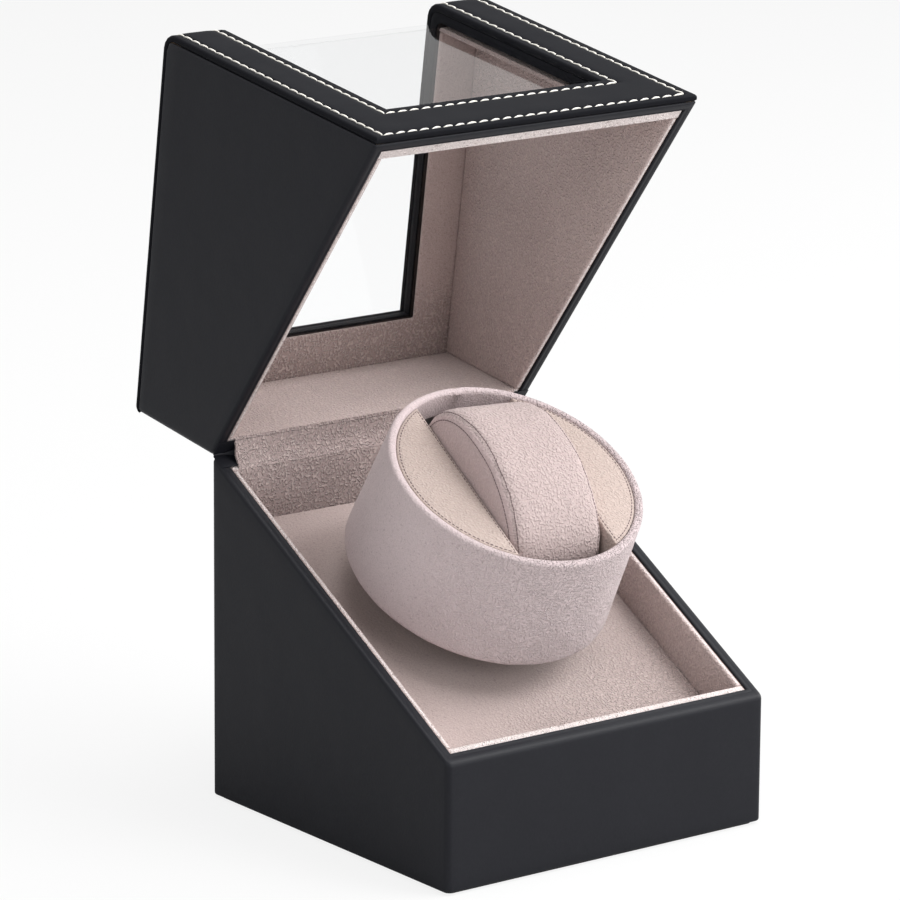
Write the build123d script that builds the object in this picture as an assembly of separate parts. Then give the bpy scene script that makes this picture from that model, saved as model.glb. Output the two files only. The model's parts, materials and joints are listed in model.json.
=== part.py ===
"""Single watch winder box: a leather-wrapped base cut on the slant, a windowed lid and a turning drum.

Frame: origin at the centre of the base's underside, +Z up, the front faces -Y, +X to the right.
The lid is modelled shut, then swung open about its hinge. Lengths are in millimetres.
"""

from build123d import *
import math
import os

# ---- Box ----
box_width = 125.0  # X, over the leather
box_depth = 125.0  # Y, over the leather
base_back_height = 112.5  # rim of the base at the hinge
base_front_height = 42.0  # rim of the base at its front
lid_back_height = 42.0  # lid above the hinge when shut
lid_open_angle = 81.9
rim_gap = 0.4  # between the two rims when shut
edge_radius = 2.0  # upright leather edges
corner_radius = 3.0  # lid, where its front turns into its top
rim_radius = 1.0  # leather folded over the rims, outside
rim_inner_radius = 0.5  # and inside

# ---- Walls, from the outside in ----
leather = 0.8
panel = 3.2  # fibreboard
lining = 2.2  # velour on board
felt = 0.8  # underside
turn_under = 12.0  # leather turned in under the base
lining_drop = 0.5  # linings stop this far short of the rims

# ---- Window and the stitched leather frame round it ----
window_half_width = 41.5
window_front_z = 66.0  # height of the window's lower edge
window_back_y = 42.0
window_corner_radius = 1.0
cap_thickness = 2.25  # padded leather standing proud of the lid
cap_inset = 0.3  # from the lid's sides
cap_edge_radius = 1.0
pane = 1.4
pane_lap = 8.0  # behind the frame on each side
pane_end_lap = 6.0
pane_bend_radius = 3.0
window_lining = 3.0  # lining board round the pane
pane_clearance = 0.1

# ---- Deck ----
deck_depth = 15.5  # below the rim plane, square to it
deck_cover = 0.8
deck_board = 3.0
deck_fit = 0.1
deck_hole_radius = 13.0
cleat_width = 8.0
cleat_height = 6.0
cleat_air = 1.0  # round the gearbox, where it reaches a cleat

# ---- Drum: Z runs along its axis from the rim plane ----
drum_up_slope = 5.1  # its axis crosses the rim plane this far up from the middle
drum_turn = -4.3  # rest angle about its axis
drum_low = -2.6
drum_high = 38.8
drum_low_radius = 44.0
drum_high_radius = 42.0
drum_mouth_radius = 39.2
drum_lip_radius = 1.1
drum_foot_radius = 1.5
sleeve = 0.7
sleeve_return = 3.0  # velour turned in over the lip
drum_floor_low = 4.5
drum_floor = 2.5
drum_liner = 0.8
drum_bore_radius = 40.0  # hollow under the floor
pad_drop = 0.8  # pads stop this far below the lip
pad_fit = 0.1
pad_edge_radius = 1.0
slot_half_width = 17.9

# ---- Cushion ----
cushion_fit = 0.4
cushion_half_length = 33.0
cushion_half_height = 22.0
cushion_centre_y = -1.5
cushion_centre_z = 30.5
cushion_lean = 12.0
cushion_edge_radius = 3.0

# ---- Hub and output shaft ----
hub_clearance = 1.2  # over the deck
hub_radius = 10.0
hub_flange_radius = 22.0
hub_flange = 2.0
hub_rib_count = 6
hub_rib_width = 1.6
hub_rib_radius = 19.0
hub_screw_circle = 16.0
hub_screw_count = 3
shaft_radius = 2.0
shaft_flat = 1.5  # flat of the D, from the axis
shaft_top = 3.0
running_fit = 0.05

# ---- Gears ----
gear_module = 0.5
wheel_teeth = 36
pinion_teeth = 12
pressure_angle = 20.0
backlash = 0.12
addendum = 0.8  # in modules
dedendum = 1.2  # in modules
wheel_face = 3.0
layer_gap = 0.7
pinion_overlap = 0.2  # pinion past its wheel's far face
arbor_radius = 0.75
arbor_seat = 1.2

# ---- Gearbox and motor ----
gearbox_cover = 2.0
gearbox_wall = 2.0
gear_room = 1.0  # round the teeth
gearbox_radius = 8.0
cover_ear = 4.5
ear_screw_radius = 1.3
bushing_radius = 3.5
bushing_rise = 2.4
motor_radius = 10.0
motor_flat = 7.7
motor_length = 24.0
motor_cap = 2.5
motor_boss_radius = 3.0
motor_boss = 1.6
motor_shaft_radius = 1.0
motor_shaft_depth = 4.0

# ---- Controls in the back ----
control_height = 26.0
jack_x = -36.0
jack_barrel_radius = 4.0
jack_flange_radius = 5.5
jack_flange = 1.4
jack_length = 14.0
jack_mouth_radius = 2.8
jack_mouth = 3.0
jack_chamber_radius = 3.3
jack_chamber = 6.5
jack_pin_radius = 1.0
jack_pin_recess = 0.3
jack_nut_across = 11.0
jack_nut = 2.2
knob_x = -14.0
knob_radius = 6.5
knob_height = 8.0
knob_air = 0.4
knob_pointer_width = 1.2
knob_flute_count = 18
switch_shaft_radius = 3.0
switch_bush_radius = 3.5
switch_body = (14.0, 7.0, 13.0)
board_size = (46.0, 1.6, 30.0)
board_standoff = 9.0
standoff_radius = 2.5
standoff_inset = 4.0
chip_size = (8.0, 1.6, 5.0)
capacitor_radius = 3.0
capacitor_length = 8.0
lead_radius = 0.6
lead_drop = 3.5  # straight out of the end cap
lead_run = 6.0  # straight into the board
lead_bend = 2.5
lead_spread = 6.0  # each side of the motor's axis
lead_reach = 15.0  # along the board from its middle

# ---- Hinges ----
hinge_x = 38.0
hinge_length = 24.0
hinge_knuckles = 5
knuckle_gap = 0.12
barrel_radius = 1.6
hinge_pin_radius = 0.8
leaf = 0.8
leaf_reach = 3.8  # in from the hinge axis, along Y
hinge_air = 0.3
cloth = 0.8
cloth_side_gap = 1.5
cloth_sag = 0.7

# ---- Worked out from the sizes above ----
half_w = box_width / 2
half_d = box_depth / 2
box_height = base_back_height + lid_back_height
slope = (base_back_height - base_front_height) / box_depth
tilt = math.degrees(math.atan(slope))
tilt_cos = math.cos(math.radians(tilt))
tilt_sin = math.sin(math.radians(tilt))

carcass_half_w = half_w - leather
carcass_half_d = half_d - leather
inner_half_w = carcass_half_w - panel
inner_half_d = carcass_half_d - panel
clear_half_w = inner_half_w - lining
clear_half_d = inner_half_d - lining
floor_low = felt + leather
lid_front_inner = -half_d + panel  # back face of the lid's front frame
lid_top_inner = box_height - panel
lid_front_clear = lid_front_inner + window_lining
lid_top_clear = lid_top_inner - window_lining
deck_under = deck_depth + deck_cover + deck_board

hinge_y = half_d
hinge_z = base_back_height + rim_gap / 2 / tilt_cos

drum_y = drum_up_slope * tilt_cos
drum_z = (base_front_height + base_back_height) / 2 + drum_up_slope * tilt_sin
drive_plane = Plane(origin=(0, drum_y, drum_z), x_dir=(1, 0, 0), z_dir=(0, -tilt_sin, tilt_cos))
drum_plane = Plane(drive_plane.location * Rotation(0, 0, drum_turn))

wheel_radius = gear_module * wheel_teeth / 2
pinion_radius = gear_module * pinion_teeth / 2
gear_pitch = wheel_radius + pinion_radius
gear_centres = [0.0, gear_pitch, 2 * gear_pitch, 3 * gear_pitch]  # output, second, first, motor
cover_top = -deck_under
cover_under = cover_top - gearbox_cover
layer_tops = [cover_under - 0.5 - index * (wheel_face + layer_gap) for index in range(3)]
case_floor_top = layer_tops[2] - wheel_face - 0.5
case_under = case_floor_top - gearbox_wall
case_x_low = -(wheel_radius + gear_room + gearbox_wall)
case_x_high = gear_centres[3] + motor_radius + 1.0
case_half_width = wheel_radius + gear_room + gearbox_wall


def rim_z(y, lift=0.0):
    """Height of the base's rim plane at y, moved square to itself by lift."""
    return base_front_height + (y + half_d) * slope + lift / tilt_cos


def prism(points, x_low, x_high, radii=None):
    """Solid with a side outline of (y, z) points, from x_low to x_high."""
    corners = radii or [0.0] * len(points)
    outline = FilletPolyline(*points, radius=corners, close=True)
    face = Plane.YZ.offset(x_low) * make_face(outline)
    return extrude(face, amount=x_high - x_low)


def under_rim(y_low, y_high, z_low, lift, x_low, x_high):
    """Solid from a flat underside up to the slanted rim plane."""
    points = [(y_low, z_low), (y_high, z_low), (y_high, rim_z(y_high, lift)), (y_low, rim_z(y_low, lift))]
    return prism(points, x_low, x_high)


def over_rim(y_low, y_high, lift, z_high, x_low, x_high, front_top_radius=0.0):
    """Solid from the slanted rim plane up to a flat top."""
    points = [(y_low, rim_z(y_low, lift)), (y_high, rim_z(y_high, lift)), (y_high, z_high), (y_low, z_high)]
    return prism(points, x_low, x_high, [0.0, 0.0, 0.0, front_top_radius])


def slanted_sheet(y_low, y_high, lift_low, lift_high, x_low, x_high):
    """Board parallel to the rim plane, with upright ends."""
    points = [(y_low, rim_z(y_low, lift_low)), (y_high, rim_z(y_high, lift_low))]
    points += [(y_high, rim_z(y_high, lift_high)), (y_low, rim_z(y_low, lift_high))]
    return prism(points, x_low, x_high)


def block(x_low, x_high, y_low, y_high, z_low, z_high):
    """Box between its limits."""
    size = Box(x_high - x_low, y_high - y_low, z_high - z_low, align=Align.MIN)
    return Pos(x_low, y_low, z_low) * size


def mirrored(shape):
    """Copy on the other side of the box."""
    return mirror(shape, about=Plane.YZ)


def opened(shape):
    """Swing a lid piece from shut to its open rest."""
    hinge_axis = Axis((0, hinge_y, hinge_z), (1, 0, 0))
    return shape.rotate(hinge_axis, -lid_open_angle)


def opened_point(y, z):
    """Where the point (y, z) of the shut lid lies when it is open."""
    arm = Vector(0, y - hinge_y, z - hinge_z).rotate(Axis.X, -lid_open_angle)
    return (hinge_y + arm.Y, hinge_z + arm.Z)


def rod(radius, z_low, z_high, x=0.0, y=0.0):
    """Upright cylinder."""
    return Pos(x, y, z_low) * Cylinder(radius, z_high - z_low, align=(Align.CENTER, Align.CENTER, Align.MIN))


def along_y(shape, x, y, z):
    """Stand a shape made along +Z out of the back, along +Y."""
    return Plane(origin=(x, y, z), x_dir=(-1, 0, 0), z_dir=(0, 1, 0)) * shape


def on_rim(edge, lift):
    """True where both ends of an edge lie on the rim plane moved by lift."""
    return all(abs(v.Z - rim_z(v.Y, lift)) < 1e-4 for v in edge.vertices())


def fold_rim(shape, lift, rounded_front):
    """Round the leather where it folds over a rim, its front edge too if rounded_front."""

    def folded(edge):
        at_front = all(v.Y < lid_front_inner - 0.01 for v in edge.vertices())
        return on_rim(edge, lift) and (rounded_front or not at_front)

    def outside(edge):
        return folded(edge) and any(max(abs(v.X), abs(v.Y)) > carcass_half_w for v in edge.vertices())

    def inside(edge):
        return folded(edge) and all(max(abs(v.X), abs(v.Y)) < carcass_half_w for v in edge.vertices())

    shape = fillet(shape.edges().filter_by(outside), rim_radius)
    return fillet(shape.edges().filter_by(inside), rim_inner_radius)


# ---- Hinges ----


def knuckle_spans(first):
    """X ranges of every second knuckle of one hinge, starting with knuckle number first."""
    pitch = hinge_length / hinge_knuckles
    low = -hinge_length / 2
    spans = range(first, hinge_knuckles, 2)
    return [(low + n * pitch + knuckle_gap / 2, low + (n + 1) * pitch - knuckle_gap / 2) for n in spans]


def cross_rod(radius, x_low, x_high):
    """Cylinder on the hinge axis."""
    return Plane(origin=(x_low, hinge_y, hinge_z), z_dir=(1, 0, 0)) * rod(radius, 0, x_high - x_low)


def leaf_plate(side, extra=0.0):
    """One hinge leaf in the rim of the base (side -1) or of the lid (side +1)."""
    inner_y = hinge_y - leaf_reach - extra
    near = side * (rim_gap / 2 if extra == 0 else 0.0)
    far = side * (rim_gap / 2 + leaf + extra)
    low, high = sorted((near + rim_gap / 2, far + rim_gap / 2))
    return slanted_sheet(inner_y, hinge_y, low, high, -hinge_length / 2 - extra, hinge_length / 2 + extra)


def hinge_half(side, first):
    """Leaf and knuckles of one half of a hinge, at x = 0."""
    half = leaf_plate(side)
    half -= cross_rod(barrel_radius + knuckle_gap, -hinge_length, hinge_length)
    for x_low, x_high in knuckle_spans(first):
        knuckle = cross_rod(barrel_radius, x_low, x_high)
        tongue = leaf_plate(side) & block(x_low, x_high, -half_d, half_d, 0, box_height)
        half += knuckle + tongue
    return half - cross_rod(hinge_pin_radius + running_fit, -hinge_length, hinge_length)


def at_hinges(shape):
    """The two copies of a hinge piece."""
    return [Pos(x, 0, 0) * shape for x in (-hinge_x, hinge_x)]


def hinge_pocket(side):
    """Room cut for the leaves and barrels in the base (side -1) or the lid (side +1)."""
    pocket = leaf_plate(side, hinge_air) + cross_rod(
        barrel_radius + hinge_air, -hinge_length / 2 - hinge_air, hinge_length / 2 + hinge_air
    )
    return Compound(at_hinges(pocket))


def make_hinges():
    """Hinge halves, pins and the velour strip that hides them."""
    base_half = hinge_half(-1, 0)
    lid_half = hinge_half(1, 1)
    pin = cross_rod(hinge_pin_radius, -hinge_length / 2, hinge_length / 2)
    return {
        "hinge_base_leaves": Compound(at_hinges(base_half)),
        "hinge_lid_leaves": opened(Compound(at_hinges(lid_half))),
        "hinge_pins": Compound(at_hinges(pin)),
        "hinge_cloth": make_hinge_cloth(),
    }


def make_hinge_cloth():
    """Velour strip sagging between the two back linings."""
    low = Vector(0, clear_half_d, rim_z(clear_half_d, -lining_drop))
    high = Vector(0, *opened_point(clear_half_d, rim_z(clear_half_d, rim_gap + lining_drop)))
    back = Vector(0, 1, 0) * cloth
    middle = (low + high) / 2 + Vector(0, cloth_sag, 0)
    front_line = ThreePointArc(low, middle, high)
    back_line = ThreePointArc(high + back, middle + back, low + back)
    edges = [front_line, Line(high, high + back), back_line, Line(low + back, low)]
    half_x = clear_half_w - cloth_side_gap
    return extrude(Pos(-half_x, 0, 0) * make_face(edges), amount=2 * half_x, dir=(1, 0, 0))


# ---- Base ----


def control_holes():
    """Holes through the back for the power inlet and the mode switch."""
    depth = half_d - inner_half_d + 2.0
    jack = along_y(rod(jack_barrel_radius, 0, depth), jack_x, inner_half_d - 1.0, control_height)
    switch = along_y(rod(switch_bush_radius, 0, depth), knob_x, inner_half_d - 1.0, control_height)
    return jack + switch


def make_base_shell():
    """Fibreboard carcass, leather and underside felt of the base."""
    side = under_rim(-carcass_half_d, carcass_half_d, floor_low, -leather, -carcass_half_w, -inner_half_w)
    front = under_rim(-carcass_half_d, -inner_half_d, floor_low, -leather, -inner_half_w, inner_half_w)
    back = under_rim(inner_half_d, carcass_half_d, floor_low, -leather, -inner_half_w, inner_half_w)
    bottom = block(-inner_half_w, inner_half_w, -inner_half_d, inner_half_d, floor_low, floor_low + panel)
    pocket = hinge_pocket(-1)
    holes = control_holes()

    upright = extrude(RectangleRounded(box_width, box_depth, edge_radius), amount=box_height)
    wrap = upright & under_rim(-half_d, half_d, felt, 0, -half_w, half_w)
    wrap -= under_rim(-carcass_half_d, carcass_half_d, floor_low, -leather, -carcass_half_w, carcass_half_w)
    wrap -= block(-inner_half_w, inner_half_w, -inner_half_d, inner_half_d, floor_low, box_height)
    opening_w = half_w - turn_under
    opening_d = half_d - turn_under
    wrap -= block(-opening_w, opening_w, -opening_d, opening_d, 0, floor_low)
    wrap = fold_rim(wrap, 0.0, True)
    felt_inset = edge_radius
    sheet = RectangleRounded(box_width - 2 * felt_inset, box_depth - 2 * felt_inset, edge_radius)
    return {
        "base_left_panel": side,
        "base_right_panel": mirrored(side),
        "base_front_panel": front,
        "base_back_panel": back - pocket - holes,
        "base_bottom_panel": bottom,
        "base_leather": wrap - pocket - holes,
        "base_felt": extrude(sheet, amount=felt),
    }


def make_base_lining():
    """Velour linings, deck and the cleats that carry it."""
    low, high = -deck_under, -lining_drop
    side = slanted_sheet(-clear_half_d, clear_half_d, low, high, -inner_half_w, -clear_half_w)
    front = slanted_sheet(-inner_half_d, -clear_half_d, low, high, -inner_half_w, inner_half_w)
    back = slanted_sheet(clear_half_d, inner_half_d, low, high, -inner_half_w, inner_half_w)
    deck_w = clear_half_w - deck_fit
    deck_d = clear_half_d - deck_fit
    hole = drive_plane * rod(deck_hole_radius, -deck_under - 1, -deck_depth + 1)
    cover = slanted_sheet(-deck_d, deck_d, -deck_depth - deck_cover, -deck_depth, -deck_w, deck_w)
    board = slanted_sheet(-deck_d, deck_d, -deck_under, -deck_depth - deck_cover, -deck_w, deck_w)
    cleat_low = -deck_under - cleat_height
    cleat = slanted_sheet(
        -inner_half_d, inner_half_d, cleat_low, -deck_under, -inner_half_w, -inner_half_w + cleat_width
    )
    return {
        "base_lining_left": side,
        "base_lining_right": mirrored(side),
        "base_lining_front": front,
        "base_lining_back": back,
        "deck_velour": cover - hole,
        "deck_board": board - hole,
        "deck_cleats": Compound([cleat, mirrored(cleat)]),
    }


# ---- Lid, modelled shut ----


def window_block(grow=0.0):
    """Space of the window, which runs over the corner from the front into the top."""
    width = window_half_width + grow
    points = [
        (-half_d - cap_thickness - 1, window_front_z - grow),
        (window_back_y + grow, window_front_z - grow),
        (window_back_y + grow, box_height + cap_thickness + 1),
        (-half_d - cap_thickness - 1, box_height + cap_thickness + 1),
    ]
    return prism(points, -width, width)


def make_lid_cap():
    """Padded leather frame bent over the corner and turned into the window."""
    half = half_w - cap_inset
    start_z = rim_z(-half_d, rim_gap) + cap_inset
    face_y = -half_d - cap_thickness
    top_z = box_height + cap_thickness
    outline = [(face_y, start_z), (face_y, top_z), (half_d, top_z)]
    outline += [(half_d, box_height), (-half_d, box_height), (-half_d, start_z)]
    bend = corner_radius + cap_thickness
    band = prism(outline, -half, half, [cap_edge_radius, bend, cap_edge_radius, 0.0, corner_radius, 0.0])
    band -= window_block()
    turned_in = window_block(leather) - window_block()
    frame_room = over_rim(-half_d, carcass_half_d, 0, box_height, -half, half, corner_radius)
    frame_room -= over_rim(lid_front_inner, half_d, -panel, lid_top_inner, -half, half)
    return band + (turned_in & frame_room)


def make_lid_shell():
    """Fibreboard carcass and leather of the lid."""
    lift = rim_gap + leather
    side = over_rim(
        -half_d, carcass_half_d, lift, box_height, -carcass_half_w, -inner_half_w, corner_radius
    )
    opening = window_block(leather)
    front_back_z = rim_z(lid_front_inner, lift)
    front_outline = [(-half_d, rim_z(-half_d, lift)), (lid_front_inner, front_back_z)]
    front_outline += [(lid_front_inner, box_height), (-half_d, box_height)]
    front = prism(front_outline, -inner_half_w, inner_half_w, [0.0, 0.0, 0.0, corner_radius])
    top = block(-inner_half_w, inner_half_w, lid_front_inner, carcass_half_d, lid_top_inner, box_height)
    back = over_rim(inner_half_d, carcass_half_d, lift, lid_top_inner, -inner_half_w, inner_half_w)
    pocket = hinge_pocket(1)

    solid = block(-half_w, half_w, -half_d, half_d, 0, box_height)
    back_edges = solid.edges().filter_by(Axis.Z).group_by(Axis.Y)[-1]
    outer = fillet(back_edges, edge_radius) & over_rim(
        -half_d, half_d, rim_gap, box_height, -half_w, half_w, corner_radius
    )
    wrap = outer - over_rim(
        -half_d - 1, carcass_half_d, lift, box_height + 1, -carcass_half_w, carcass_half_w
    )
    wrap -= block(-inner_half_w, inner_half_w, lid_front_inner, inner_half_d, 0, box_height)
    wrap = fold_rim(wrap, rim_gap, False)
    return {
        "lid_left_panel": side,
        "lid_right_panel": mirrored(side),
        "lid_front_frame": front - opening,
        "lid_top_frame": top - opening,
        "lid_back_panel": back - pocket,
        "lid_leather": wrap - pocket,
        "lid_leather_frame": make_lid_cap(),
    }


def make_pane(grow=0.0):
    """Clear sheet bent once, or the pocket for it when grown."""
    outer_y, outer_z = lid_front_inner, lid_top_inner
    inner_y, inner_z = outer_y + pane + grow, outer_z - pane - grow
    low_z = window_front_z - pane_end_lap - grow
    high_y = window_back_y + pane_end_lap + grow
    half = window_half_width + pane_lap + grow
    outline = [(outer_y, low_z), (inner_y, low_z), (inner_y, inner_z), (high_y, inner_z)]
    outline += [(high_y, outer_z), (outer_y, outer_z)]
    bend = 0.0 if grow else pane_bend_radius
    return prism(outline, -half, half, [0.0, 0.0, pane_bend_radius - pane - grow, 0.0, 0.0, bend])


def make_lid_lining():
    """Velour linings of the lid and the pane they hold against the frame."""
    low = rim_gap + lining_drop
    pocket = make_pane(pane_clearance)
    opening = window_block(leather / 2)
    side = over_rim(lid_front_clear, clear_half_d, low, lid_top_clear, -inner_half_w, -clear_half_w)
    front = over_rim(lid_front_inner, lid_front_clear, low, lid_top_inner, -inner_half_w, inner_half_w)
    top = block(-inner_half_w, inner_half_w, lid_front_clear, inner_half_d, lid_top_clear, lid_top_inner)
    back = over_rim(clear_half_d, inner_half_d, low, lid_top_clear, -inner_half_w, inner_half_w)
    return {
        "lid_window": make_pane(),
        "lid_lining_left": side,
        "lid_lining_right": mirrored(side),
        "lid_lining_front": front - opening - pocket,
        "lid_lining_top": top - opening - pocket,
        "lid_lining_back": back,
    }


# ---- Drum and cushion, along the drum's axis ----


def turned(points, radii):
    """Solid of revolution about Z from an outline of (r, z) points."""
    outline = FilletPolyline(*points, radius=radii, close=True)
    return revolve(Plane.XZ * make_face(outline), Axis.Z)


def wall_radius(z, inset=0.0):
    """Outer radius of the drum at height z, less inset."""
    share = (z - drum_low) / (drum_high - drum_low)
    return drum_low_radius + share * (drum_high_radius - drum_low_radius) - inset


def make_drum_shell():
    """Moulded cup with a skirt below its floor."""
    foot, rim = drum_low + sleeve, drum_high - sleeve
    bore = drum_mouth_radius + sleeve
    floor_top = drum_floor_low + drum_floor
    hub_hole = shaft_radius + 2.0
    points = [(hub_hole, drum_floor_low), (drum_bore_radius, drum_floor_low), (drum_bore_radius, foot)]
    points += [(wall_radius(foot, sleeve), foot), (wall_radius(rim, sleeve), rim)]
    points += [(bore, rim), (bore, floor_top), (hub_hole, floor_top)]
    lip = drum_lip_radius - sleeve
    return turned(points, [0, 1.0, 0, drum_foot_radius - sleeve, lip, lip, 0, 0])


def make_drum_sleeve():
    """Velour glued round the drum, turned in over its lip and under its foot."""
    foot, rim = drum_low + sleeve, drum_high - sleeve
    bore = drum_mouth_radius + sleeve
    end = drum_high - sleeve_return
    under = drum_low_radius - sleeve_return
    points = [(under, drum_low), (drum_low_radius, drum_low), (drum_high_radius, drum_high)]
    points += [(drum_mouth_radius, drum_high), (drum_mouth_radius, end), (bore, end), (bore, rim)]
    points += [(wall_radius(rim, sleeve), rim), (wall_radius(foot, sleeve), foot), (under, foot)]
    lip, inner_lip = drum_lip_radius, drum_lip_radius - sleeve
    inner_foot = drum_foot_radius - sleeve
    return turned(points, [0, drum_foot_radius, lip, lip, 0, 0, inner_lip, inner_lip, inner_foot, 0])


def make_drum_pads():
    """Velour-covered blocks that leave the cushion's slot between them."""
    radius = drum_mouth_radius - pad_fit
    low = drum_floor_low + drum_floor + drum_liner
    disc = rod(radius, low, drum_high - pad_drop)
    pad = disc & block(slot_half_width, radius, -radius, radius, low, drum_high)
    pad = fillet(pad.edges().group_by(Axis.Z)[-1], pad_edge_radius)
    return pad


def make_hub():
    """Flanged and ribbed boss that carries the drum on the output shaft."""
    flange_low = drum_floor_low - hub_flange
    boss_low = -deck_depth + hub_clearance
    hub = rod(hub_flange_radius, flange_low, drum_floor_low) + rod(hub_radius, boss_low, flange_low)
    rib_outline = [(hub_radius - 0.5, flange_low), (hub_rib_radius, flange_low), (hub_radius - 0.5, boss_low + 2)]
    rib = extrude(Plane.XZ * make_face(Polyline(*rib_outline, close=True)), hub_rib_width / 2, both=True)
    for index in range(hub_rib_count):
        hub += Rot(0, 0, 360 * index / hub_rib_count) * rib
    return hub - d_shaft(boss_low, shaft_top) - hub_screw_set(0.0)


def d_shaft(z_low, z_high):
    """Shaft with one flat."""
    shaft = rod(shaft_radius, z_low, z_high)
    return shaft - block(shaft_flat, shaft_radius + 1, -shaft_radius, shaft_radius, z_low, z_high)


def hub_screw_set(grow):
    """Screws from the hub's flange into the drum's floor, or their holes."""
    head_top = drum_floor_low - hub_flange
    screws = []
    for index in range(hub_screw_count):
        angle = 360 * (index + 0.5) / hub_screw_count
        screw = rod(1.4 + grow, head_top - 0.5, drum_floor_low + drum_floor, hub_screw_circle)
        screws.append(Rot(0, 0, angle) * (screw + rod(2.6 + grow, head_top - 1.6, head_top, hub_screw_circle)))
    return Compound(screws)


def make_drum():
    """Drum, hub and the cushion that lifts out of its slot."""
    pad = make_drum_pads()
    floor_top = drum_floor_low + drum_floor
    liner = rod(drum_mouth_radius + sleeve - pad_fit, floor_top, floor_top + drum_liner)
    screws = hub_screw_set(0.0)
    half = slot_half_width - cushion_fit
    oval = Rot(0, 0, cushion_lean) * Ellipse(cushion_half_length, cushion_half_height)
    section = Plane.YZ.offset(-half) * Pos(cushion_centre_y, cushion_centre_z) * oval
    cushion = extrude(section, amount=2 * half)
    cushion = fillet(cushion.edges().filter_by(GeomType.ELLIPSE), cushion_edge_radius)
    pieces = {
        "drum_shell": make_drum_shell() - screws,
        "drum_sleeve": make_drum_sleeve(),
        "drum_pad_left": mirrored(pad),
        "drum_pad_right": pad,
        "drum_liner": liner,
        "drum_hub": make_hub(),
        "hub_screws": screws,
        "cushion": cushion,
    }
    return {name: drum_plane * shape for name, shape in pieces.items()}


# ---- Gear train, gearbox and motor, along the drum's axis ----


def involute_point(base_radius, radius, offset):
    """Point of an involute flank at a radius, turned by offset (radians)."""
    roll = math.sqrt(max((radius / base_radius) ** 2 - 1, 0.0))
    angle = roll - math.atan(roll) + offset
    return (radius * math.cos(angle), radius * math.sin(angle))


def gear_face(teeth, phase):
    """Spur gear outline with involute flanks, a tooth centred at the phase angle (degrees)."""
    pitch_radius = gear_module * teeth / 2
    base_radius = pitch_radius * math.cos(math.radians(pressure_angle))
    tip_radius = pitch_radius + addendum * gear_module
    root_radius = pitch_radius - dedendum * gear_module
    roll = math.tan(math.radians(pressure_angle)) - math.radians(pressure_angle)
    half_tooth = math.pi / 2 / teeth - backlash / 2 / pitch_radius
    flank_start = max(base_radius, root_radius)
    flank = []
    for radius in (flank_start, (flank_start + tip_radius) / 2, tip_radius):
        flank.append(involute_point(base_radius, radius, -half_tooth - roll))
    root_angle = math.atan2(flank[0][1], flank[0][0])
    root = (root_radius * math.cos(root_angle), root_radius * math.sin(root_angle))
    lower = [root] + flank if root_radius < flank_start else flank
    tooth = lower + [(x, -y) for x, y in reversed(lower)]
    outline = []
    for index in range(teeth):
        turn = math.radians(phase + 360 * index / teeth)
        for x, y in tooth:
            outline.append((x * math.cos(turn) - y * math.sin(turn), x * math.sin(turn) + y * math.cos(turn)))
    return make_face(Polyline(*outline, close=True))


def gear(teeth, phase, bore, z_low, z_high):
    """Spur gear between two heights."""
    blank = Pos(0, 0, z_low) * extrude(gear_face(teeth, phase), amount=z_high - z_low)
    return blank - rod(bore, z_low, z_high)


def compound_gear(layer):
    """Wheel in one layer with a pinion that reaches into the layer above it."""
    bore = arbor_radius + running_fit
    top = layer_tops[layer]
    wheel = gear(wheel_teeth, 180 / wheel_teeth, bore, top - wheel_face, top)
    return wheel + gear(pinion_teeth, 0, bore, top, layer_tops[layer - 1] + pinion_overlap)


def case_plate(z_low, z_high, inset=0.0):
    """Rounded plate the shape of the gearbox."""
    length = case_x_high - case_x_low - 2 * inset
    width = 2 * (case_half_width - inset)
    middle = (case_x_low + case_x_high) / 2
    return Pos(middle, 0, z_low) * extrude(
        RectangleRounded(length, width, gearbox_radius - inset), amount=z_high - z_low
    )


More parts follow.
